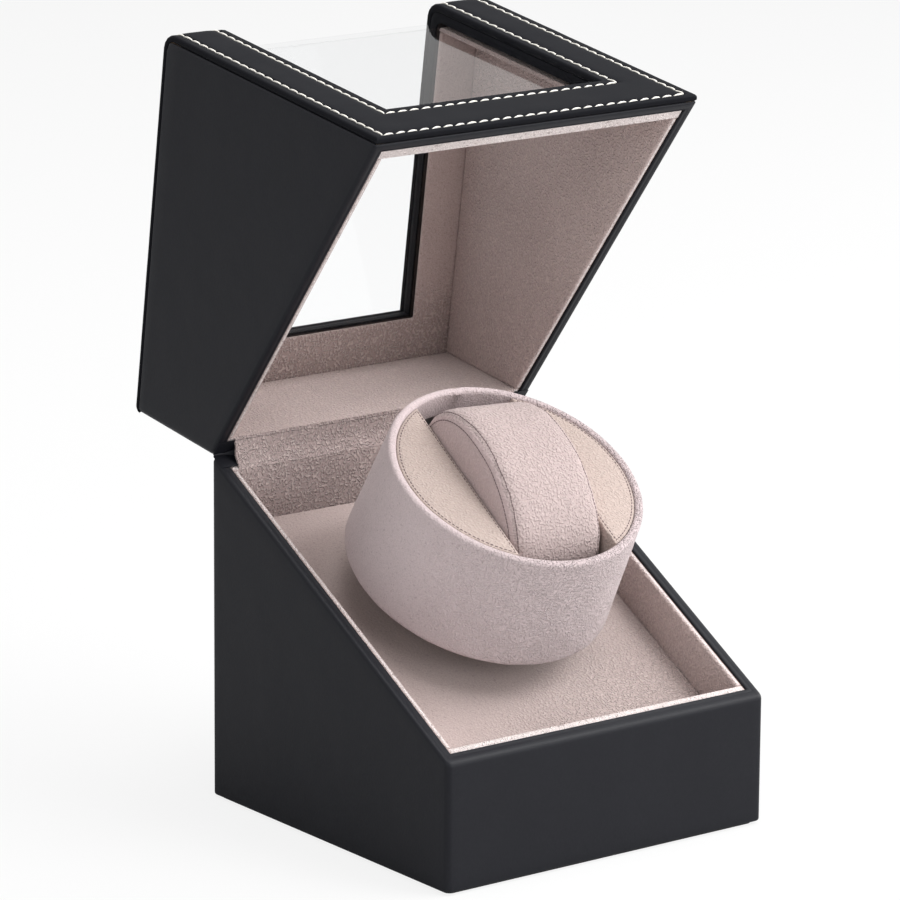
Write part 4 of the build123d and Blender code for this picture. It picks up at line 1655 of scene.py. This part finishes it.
@dataclass
class Linings:
    """Velour-covered boards inside the base and the lid."""

    edge: float = 0.7
    deck_edge: float = 0.3
    boards: Mapping[str, str] = field(
        default_factory=lambda: {
            "base_lining_left": "base",
            "base_lining_right": "base",
            "base_lining_front": "base",
            "base_lining_back": "base",
            "deck_velour": "base",
            "lid_lining_left": "lid",
            "lid_lining_right": "lid",
            "lid_lining_front": "lid",
            "lid_lining_top": "lid",
            "lid_lining_back": "lid",
        }
    )

    def build(self) -> list[bpy.types.Object]:
        """Rounds each board's edges as cloth turned over them does.

        Returns:
            The pieces.
        """
        pieces = []
        ways = {"base": SIZES.base_rim_way, "lid": SIZES.lid_rim_way}
        finishes = {
            "base_lining_back": Finish.velour_pebbled,
            # the lid's rear lining gets the darker velour copy, painted shade
            "lid_lining_top": Finish.velour_rear,
            "deck_velour": Finish.velour_deck,
        }
        for node, body in self.boards.items():
            width, rim = (self.deck_edge, None) if node == "deck_velour" else (self.edge, ways[body])
            finish = finishes.get(node, Finish.velour_beige)
            piece = softened(node, f"{node}_cloth", finish, body, width, rim)
            pieces.append(piece)
        return pieces


@dataclass
class HingeCloth:
    """Velour strip that bridges the hinge, slack when the lid is open."""

    sizes: BoxSizes = SIZES
    thickness: float = 0.8
    side_gap: float = 0.4
    sag: float = 0.7
    ripple: float = 0.22
    ripple_mm: float = 11.0
    ripple_seed: float = 5.0
    fray: float = 0.35
    fray_spread: float = 0.8
    fray_turns: float = 9.0
    overlap: float = 0.5
    slack: float = 1.04
    across: int = 90
    along: int = 16

    def build(self) -> bpy.types.Object:
        """Makes the strip, sagging between base and lid.

        Returns:
            The piece.
        """
        s = self.sizes
        clear = s.half - s.wall - s.lining
        low = Vector((0, clear, s.rim(clear, -self.overlap)))
        shut = Vector((0, clear, s.rim(clear, s.rim_gap + self.overlap)))
        high = (s.lid_matrix() @ (shut * MM)) / MM
        half = clear - self.side_gap
        way = (high - low).normalized()
        back = Vector((0, way.z, -way.y))
        sections = []
        for i in range(self.across + 1):
            x = -half + 2 * half * i / self.across
            sides: tuple[list[Point], list[Point]] = ([], [])
            for j in range(self.along + 1):
                share = j / self.along
                bow = math.sin(math.pi * share)
                at = Vector((x, 20 * share, 0))
                wave = self.ripple * bow * wavering(at, self.ripple_mm, self.ripple_seed)
                pull = 1 + self.fray_spread * math.sin(self.fray_turns * share + x)
                nip = 1.0 - self.fray / half * bow * pull
                for number, side in enumerate(sides):
                    at = low.lerp(high, share) + back * (self.sag * bow + wave + number * self.thickness)
                    side.append((x * nip, at.y, at.z))
            sections.append(sides[0] + sides[1][::-1])
        shape = Shape()
        shape.sheet(sections)
        piece = shape.made("hinge_strip", [Finish.velour_pebbled], None, smooth=50.0)
        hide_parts("hinge_cloth")
        length = (high - low).length * self.slack
        2 * half * MM
        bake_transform(piece)
        return piece


@dataclass
class HingeLiner:
    """Thin leather glued to both rims behind the velour strip, folding at the hinge."""

    sizes: BoxSizes = SIZES
    half_width: float = 61.9
    fold: float = 3.0
    end_fold: float = 0.5
    knuckles_end: float = 52.0
    easing: float = 6.0
    reach: float = 6.0
    thickness: float = 0.15
    lift: float = 0.03
    turns: int = 12
    across: int = 60

    def fold_at(self, x: float) -> float:
        """How far the fold stands off the hinge's axis: clear of the knuckles, and close in at the ends."""
        share = min(1.0, max(0.0, (abs(x) - self.knuckles_end) / self.easing))
        return self.fold + (self.end_fold - self.fold) * share * share * (3 - 2 * share)

    def section(self, fold: float) -> tuple[list[Vector], list[Vector]]:
        """Under and upper side of the open strip, from the base's rim round the fold to the lid's.

        Args:
            fold: how far the fold stands off the hinge's axis.

        Returns:
            The two paths.
        """
        s = self.sizes
        axis = s.hinge
        down = Vector((0.0, -s.cosine, -s.slope * s.cosine))
        angle = math.radians(s.open_angle)
        along_lid = Matrix.Rotation(-angle, 3, "X") @ down
        off = -s.rim_gap / 2 + self.lift
        paths = []
        for layer in (0.0, self.thickness):
            path = []
            for step in range(5):
                run = self.reach + (fold - self.reach) * step / 4
                path.append(axis + down * run + s.base_rim_way * (off + layer))
            for step in range(1, self.turns):
                turn = Matrix.Rotation(-angle * step / self.turns, 3, "X")
                path.append(axis + (turn @ down) * (fold + layer))
            for step in range(5):
                run = fold + (self.reach - fold) * step / 4
                path.append(axis + along_lid * run + s.lid_rim_way * (off + layer))
            paths.append(path)
        return paths[0], paths[1]

    def build(self) -> bpy.types.Object:
        """Makes the strip, open, folded round the hinge between base and lid.

        Returns:
            The piece.
        """
        places = [-self.half_width + 2 * self.half_width * k / self.across for k in range(self.across + 1)]
        sections = []
        for x in places:
            under, over = self.section(self.fold_at(x))
            sections.append([(x, p.y, p.z) for p in under + over[::-1]])
        shape = Shape()
        shape.sheet(sections)
        piece = shape.made("hinge_liner", [Finish.leatherette_black], None, smooth=60.0)
        widest, _ = self.section(self.fold)
        start, end = widest[4], widest[-5]
        tuple(start * MM)
        tuple(end * MM)
        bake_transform(piece)
        return piece


# ---- Drum and cushion ----


@dataclass
class Drum:
    """Velour drum with two pads; made along its axis from the rim plane."""

    sizes: BoxSizes = SIZES
    turn: float = -4.3
    up_slope: float = 5.1
    low: float = -2.6
    high: float = 38.8
    low_radius: float = 44.0
    high_radius: float = 42.0
    mouth_radius: float = 39.2
    foot: float = 1.6
    lip: float = 1.2
    cloth: float = 0.7
    turned_in: float = 9.0
    pad_low: float = 7.8
    pad_drop: float = 0.5
    pad_gap: float = 0.1
    pad_edge: float = 0.6
    pad_crown: float = 0.35
    slot_half: float = 17.9
    segments: int = 200
    sleeve_rows: int = 26
    swells: tuple[tuple[float, float, float], ...] = ((0.10, 7.0, 1.0), (0.06, 2.4, 4.0))
    seam_depth: float = 0.45
    seam_width: float = 0.8
    hem: float = 0.4
    hem_rise: float = 0.2
    pad_rows: tuple[float, ...] = (1.6, 2.4, 3.4, 4.6, 6.0, 7.6, 9.2)
    pad_crown_run: float = 2.5
    pad_swell: tuple[float, float, float] = (0.06, 5.0, 6.0)
    stitch_inset: float = 0.35

    def place(self) -> Matrix:
        """Where the drum stands."""
        return self.sizes.drum_matrix(self.turn, self.up_slope)

    def wall(self, z: float) -> float:
        """Outer radius at a height."""
        share = (z - self.low) / (self.high - self.low)
        return self.low_radius + share * (self.high_radius - self.low_radius)

    def build_sleeve(self) -> bpy.types.Object:
        """Cloth round the drum, over its lip and a little way down inside.

        Returns:
            The piece.
        """
        foot, lip, cloth, mouth = self.foot, self.lip, self.cloth, self.mouth_radius
        top, end, under = self.high - lip, self.high - self.turned_in, self.high - cloth
        hem = self.wall(self.low) - cloth - self.hem
        outline: list[tuple[float, float]] = [(hem, self.low)]
        for cosine, sine in arc(6, -90.0, 0.0)[1:]:
            outline.append((self.wall(self.low + foot) - foot + foot * cosine, self.low + foot + foot * sine))
        for step in range(1, self.sleeve_rows):
            z = self.low + foot + (top - self.low - foot) * step / self.sleeve_rows
            outline.append((self.wall(z), z))
        for centre, start in ((self.wall(top) - lip, 0.0), (mouth + lip, 90.0)):
            outline += [(centre + lip * c, top + lip * s) for c, s in arc(8, start, start + 90.0)]
        shown = len(outline) - 1
        outline += [(mouth, end), (mouth + cloth, end), (mouth + cloth, under)]
        outline += [(self.wall(z) - cloth, z) for z in (under, self.low + 1.0)]
        outline.append((hem, self.low + self.hem_rise))
        shape = Shape()
        rings = []
        for number, (radius, z) in enumerate(outline):
            ring = []
            for k in range(self.segments):
                angle = 2 * math.pi * k / self.segments
                at = Vector((radius * math.cos(angle), radius * math.sin(angle), z))
                swell = 0.0
                if number < shown:
                    swell = sum(rise * wavering(at, wide, pattern) for rise, wide, pattern in self.swells)
                    behind = abs(angle - math.pi / 2) * radius
                    swell -= self.seam_depth * math.exp(-((behind / self.seam_width) ** 2))
                grown = (radius + swell) / radius
                ring.append((at.x * grown, at.y * grown, z))
            rings.append(ring)
        shape.rings(rings, round_trip=True)
        piece = shape.made("drum_cloth", [Finish.velour_drum], "drum", self.place(), 70.0)
        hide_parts("drum_sleeve")
        return piece

    def pad_loop(self, inset: float, count: int = 44) -> list[tuple[float, float]]:
        """Outline of a pad, inset from its edge.

        Args:
            inset: how far in.
            count: points on the straight side; the arc takes twice as many.

        Returns:
            The loop, straight side first.
        """
        chord = self.slot_half + inset
        radius = self.mouth_radius - self.pad_gap - inset
        end = math.sqrt(max(radius**2 - chord**2, 0.01))
        straight = [(chord, end - 2 * end * k / count) for k in range(count)]
        sweep = math.atan2(end, chord)
        curved = []
        for k in range(2 * count):
            angle = -sweep + 2 * sweep * k / (2 * count)
            curved.append((radius * math.cos(angle), radius * math.sin(angle)))
        return straight + curved

    def build_pad(self, name: str, side: int) -> bpy.types.Object:
        """One pad, crowned, with its cloth drawn over a soft edge.

        Args:
            name: the piece's name.
            side: -1 for left, 1 for right.

        Returns:
            The piece.
        """
        top = self.high - self.pad_drop
        edge = self.pad_edge
        levels = [(0.0, self.pad_low), (0.0, self.pad_low + 10), (0.0, top - 5), (0.0, top - edge)]
        levels += [(edge * (1 - c), top - edge * (1 - s)) for c, s in arc(6, 0.0, 90.0)[1:]]
        for inset in self.pad_rows:
            levels.append((inset, top + self.pad_crown * (1 - math.exp((edge - inset) / self.pad_crown_run))))
        rows = []
        swell, wide, pattern = self.pad_swell
        for inset, z in levels:
            ring = []
            for x, y in self.pad_loop(inset):
                rise = swell * wavering(Vector((x, y, 0)), wide, pattern + side) if z > top - 0.1 else 0.0
                ring.append((side * x, y, z + rise))
            rows.append(ring)
        shape = Shape()
        shape.solid(rows)
        piece = shape.made(name, [Finish.pad_face], "drum", self.place(), 60.0)
        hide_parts("drum_pad_left" if side < 0 else "drum_pad_right")
        return piece

    def build_seams(self) -> bpy.types.Object:
        """Small dark stitches round each pad, just inside its edge.

        Returns:
            The piece.
        """
        shape = Shape()
        inset = self.pad_edge + self.stitch_inset
        top = self.high - self.pad_drop
        for side in (-1, 1):
            path = [Vector((side * x, y, top + 0.03)) for x, y in self.pad_loop(inset)]
            SeamLine().add(shape, path, [Vector((0.0, 0.0, 1.0))] * len(path), True)
        piece = shape.made("pad_seams", [Finish.seam_dark], "drum", self.place(), 60.0)
        return piece

    def build(self) -> list[bpy.types.Object]:
        """Sleeve, pads and their seams.

        Returns:
            The pieces.
        """
        pads = [self.build_pad("pad_left", -1), self.build_pad("pad_right", 1)]
        return [self.build_sleeve(), *pads, self.build_seams()]


@dataclass
class Cushion:
    """Oval watch cushion: a filled belt between two end panels, sewn together twice."""

    drum: Drum = field(default_factory=Drum)
    half_width: float = 17.5
    long: float = 33.0
    short: float = 22.0
    centre_y: float = -1.5
    centre_z: float = 30.5
    lean: float = 12.0
    edge: float = 2.6
    slack: float = 0.5
    room: float = 17.6
    seams: tuple[float, float] = (1.5, 3.9)
    around: int = 180
    panel: float = 1.2
    outside: float = 3.0
    filling: Filling = Filling()
    stitches: SeamLine = SeamLine(pitch=1.3, share=0.94)

    def ring(self, x: float, shrink: float) -> list[Vector]:
        """One oval ring, in the drum's frame.

        Args:
            x: where across the cushion.
            shrink: how far inside the full oval.

        Returns:
            The ring.
        """
        lean = math.radians(self.lean)
        points = []
        for cosine, sine in arc(self.around, 0.0, 360.0)[:-1]:
            y, z = (self.long - shrink) * cosine, (self.short - shrink) * sine
            turned_y = y * math.cos(lean) - z * math.sin(lean)
            turned_z = y * math.sin(lean) + z * math.cos(lean)
            points.append(Vector((x, self.centre_y + turned_y, self.centre_z + turned_z)))
        return points

    def held(self, points: np.ndarray) -> np.ndarray:
        """Keeps points within the slot between the pads.

        Args:
            points: rows of x, y and z, in millimetres.

        Returns:
            The points, moved where they stood outside it.
        """
        kept = points.copy()
        kept[:, 0] = np.clip(kept[:, 0], -self.room, self.room)
        return kept

    def build(self) -> list[bpy.types.Object]:
        """Fills the cushion, then sews its seams.

        Returns:
            The pieces.
        """
        half, edge = self.half_width - self.slack, self.edge
        profile = [(half, self.slack + edge + 6.0)]
        profile += [(half - edge + edge * c, self.slack + edge * (1 - s)) for c, s in arc(6, 0.0, 90.0)]
        profile += [(-x, shrink) for x, shrink in reversed(profile)]
        shape = Shape()
        shape.solid([self.ring(x, shrink) for x, shrink in profile])
        finishes = [Finish.velour_cushion, Finish.cushion_end]
        piece = shape.made("watch_cushion", finishes, None, None, 60.0)
        self.filling.plump(piece, self.held)
        for face in piece.data.polygons:
            x, y, z = face.center / MM
            face.material_index = int(abs(x) > half - self.panel and self.inside(y, z) > self.seams[0])
        pieces = [piece, self.sew(piece)]
        for made in pieces:
            made.data.transform(self.drum.place())
            made.data.update()
            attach(made, "cushion")
        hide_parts("cushion")
        return pieces

    def inside(self, y: float, z: float) -> float:
        """How far a point of the end panel lies inside the oval, about.

        Args:
            y: its place along the drum's slot.
            z: its height in the drum's frame.

        Returns:
            The distance.
        """
        lean = math.radians(self.lean)
        y, z = y - self.centre_y, z - self.centre_z
        flat_y, flat_z = y * math.cos(lean) + z * math.sin(lean), z * math.cos(lean) - y * math.sin(lean)
        reach = math.hypot(flat_y / self.long, flat_z / self.short)
        return (1 - reach) * math.hypot(flat_y, flat_z) / max(reach, 1e-6)

    def sew(self, piece: bpy.types.Object) -> bpy.types.Object:
        """Lays both seams of each end panel on the filled cloth.

        Args:
            piece: the filled cushion, in the drum's frame.

        Returns:
            The seams.
        """
        shape = Shape()
        for side in (-1, 1):
            for depth in self.seams:
                path, outs = [], []
                for point in self.ring(side * (self.half_width + self.outside), depth):
                    hit, at, out, _ = piece.ray_cast(point * MM, Vector((-side, 0.0, 0.0)))
                    if hit:
                        path.append(at / MM)
                        outs.append(out)
                self.stitches.add(shape, path, outs, True)
        return shape.made("cushion_seams", [Finish.seam_dark], None, None, 60.0)


# ---- What keeps its CAD shape ----


@dataclass(frozen=True)
class CarriedOver:
    """CAD nodes that are shown as they are, each in its slot's finish, except two lid frames in near-black
    fibreboard, a painted shadow line.
    """

    dyed: tuple[str, ...] = ("lid_top_frame", "lid_front_frame")

    def dress(self) -> None:
        """Gives every node that still shows its finish."""
        slots = {row["node"]: row["material_slot"] for row in frame["record"]["subparts"]}
        for name, piece in frame["nodes"].items():
            if piece.hide_render:
                continue
            piece.data.materials.clear()
            # the two lid frames get near-black fibreboard, a painted shadow line
            finish = Finish.fibreboard_dyed if name in self.dyed else Finish[slots[name]]
            piece.data.materials.append(finish.made())
            log.info("%s: CAD shape in %s", name, slots[name])


# ---- Studio ----


@dataclass
class Lamp:
    """One soft light."""

    name: str
    at: Point
    aim: Point
    size: tuple[float, float]
    power: float

    def build(self) -> None:
        """Hangs the light."""
        light = bpy.data.lights.new(self.name, "AREA")
        light.shape = "RECTANGLE"
        light.size, light.size_y = self.size
        light.energy = self.power
        holder = bpy.data.objects.new(self.name, light)
        holder.location = self.at
        holder.rotation_euler = (Vector(self.aim) - Vector(self.at)).to_track_quat("-Z", "Y").to_euler()
        bpy.context.scene.collection.objects.link(holder)


@dataclass
class Studio:
    """Pale floor, white surroundings, soft lamps and the camera."""

    azimuth: float = -37.232
    elevation: float = 14.142
    distance: float = 1.761334
    focal: float = 225.496
    sensor: float = 36.0
    roll: float = 0.419
    target: Point = (-0.015078, 0.0, 0.120529)
    ambient: float = 0.33
    floor_colour: Colour = (0.68, 0.68, 0.68)
    floor_glow: float = 0.84
    floor_reach: tuple[float, ...] = (450.0, 1800.0, 5400.0)
    floor_sides: int = 64

    def build_camera(self) -> None:
        """Places the camera."""
        a, e = math.radians(self.azimuth), math.radians(self.elevation)
        back = Vector((math.sin(a) * math.cos(e), -math.cos(a) * math.cos(e), math.sin(e)))
        right = Vector((math.cos(a), math.sin(a), 0.0))
        up = back.cross(right)
        turn = math.radians(self.roll)
        across = right * math.cos(turn) + up * math.sin(turn)
        above = -right * math.sin(turn) + up * math.cos(turn)
        lens = bpy.data.cameras.new("camera")
        lens.lens = self.focal
        lens.sensor_width = self.sensor
        lens.clip_start, lens.clip_end = 0.05, 50.0
        holder = bpy.data.objects.new("camera", lens)
        pose = Matrix((across, above, back)).transposed().to_4x4()
        pose.translation = Vector(self.target) + back * self.distance
        holder.matrix_world = pose
        bpy.context.scene.collection.objects.link(holder)
        bpy.context.scene.camera = holder

    def build_world(self) -> None:
        """White where the camera, gloss or clear sheet looks past everything, softer as light."""
        world = bpy.data.worlds.new("studio")
        bpy.context.scene.world = world
        s = Shader("studio", world)
        past = s.ray("Is Camera Ray").most(s.ray("Is Transmission Ray")).most(s.ray("Is Glossy Ray"))
        strength = past * (1.0 - self.ambient) + self.ambient
        sky = s.node("ShaderNodeBackground", None, {"Color": WHITE, "Strength": strength})
        s.output(sky, "ShaderNodeOutputWorld")

    def build_floor(self) -> None:
        """Pale floor that keeps the shadow and fades into white."""
        s = Shader("floor")
        lit = s.node("ShaderNodeBsdfDiffuse", None, {"Color": self.floor_colour})
        glow = s.node("ShaderNodeEmission", None, {"Color": WHITE, "Strength": 1.0})
        seen = s.ray("Is Camera Ray").most(s.ray("Is Transmission Ray"))
        material = s.output(s.node("ShaderNodeMixShader", None, {0: seen * self.floor_glow, 1: lit, 2: glow}))
        shape = Shape()
        turns = arc(self.floor_sides, 0.0, 360.0)[:-1]
        shape.fan(shape.rings([[(r * c, r * k, 0.0) for c, k in turns] for r in self.floor_reach])[0])
        mesh = bpy.data.meshes.new("floor")
        mesh.from_pydata([tuple(MM * c for c in p) for p in shape.points], [], shape.faces)
        mesh.materials.append(material)
        floor = bpy.data.objects.new("floor", mesh)
        bpy.context.scene.collection.objects.link(floor)

    def build(self) -> None:
        """Sets up everything."""
        self.build_camera()
        self.build_world()
        self.build_floor()
        lamps = [
            Lamp("key", (0.85, -0.95, 1.40), (0.0, 0.0, 0.12), (1.0, 1.0), 22.5),
            Lamp("left", (-1.35, -0.75, 0.70), (0.0, 0.0, 0.12), (0.9, 0.9), 4.5),
            Lamp("front", (0.45, -1.50, 0.50), (0.0, 0.0, 0.14), (1.2, 0.7), 8.0),
            Lamp("top", (0.10, 0.0, 1.8), (0.0, 0.0, 0.10), (1.1, 1.1), 18.5),
            Lamp("right", (1.45, -0.25, 0.80), (0.0, 0.0, 0.10), (0.9, 1.2), 18.0),
        ]
        for lamp in lamps:
            lamp.build()


def main() -> None:
    """Builds the box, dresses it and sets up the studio."""
    logging.basicConfig(level=logging.INFO, format="%(name)s %(message)s")
    scene = bpy.context.scene
    scene.view_settings.view_transform = "Standard"
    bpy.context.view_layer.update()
    BaseWrap().build()
    LidWrap().build()
    stitched = StitchedFrame()
    stitched.build()
    stitched.build_thread()
    Pane(frame=stitched).build()
    Linings().build()
    HingeCloth().build()
    HingeLiner().build()
    drum = Drum()
    drum.build()
    Cushion(drum=drum).build()
    CarriedOver().dress()
    Studio().build()


if __name__ == "__main__":
    main()
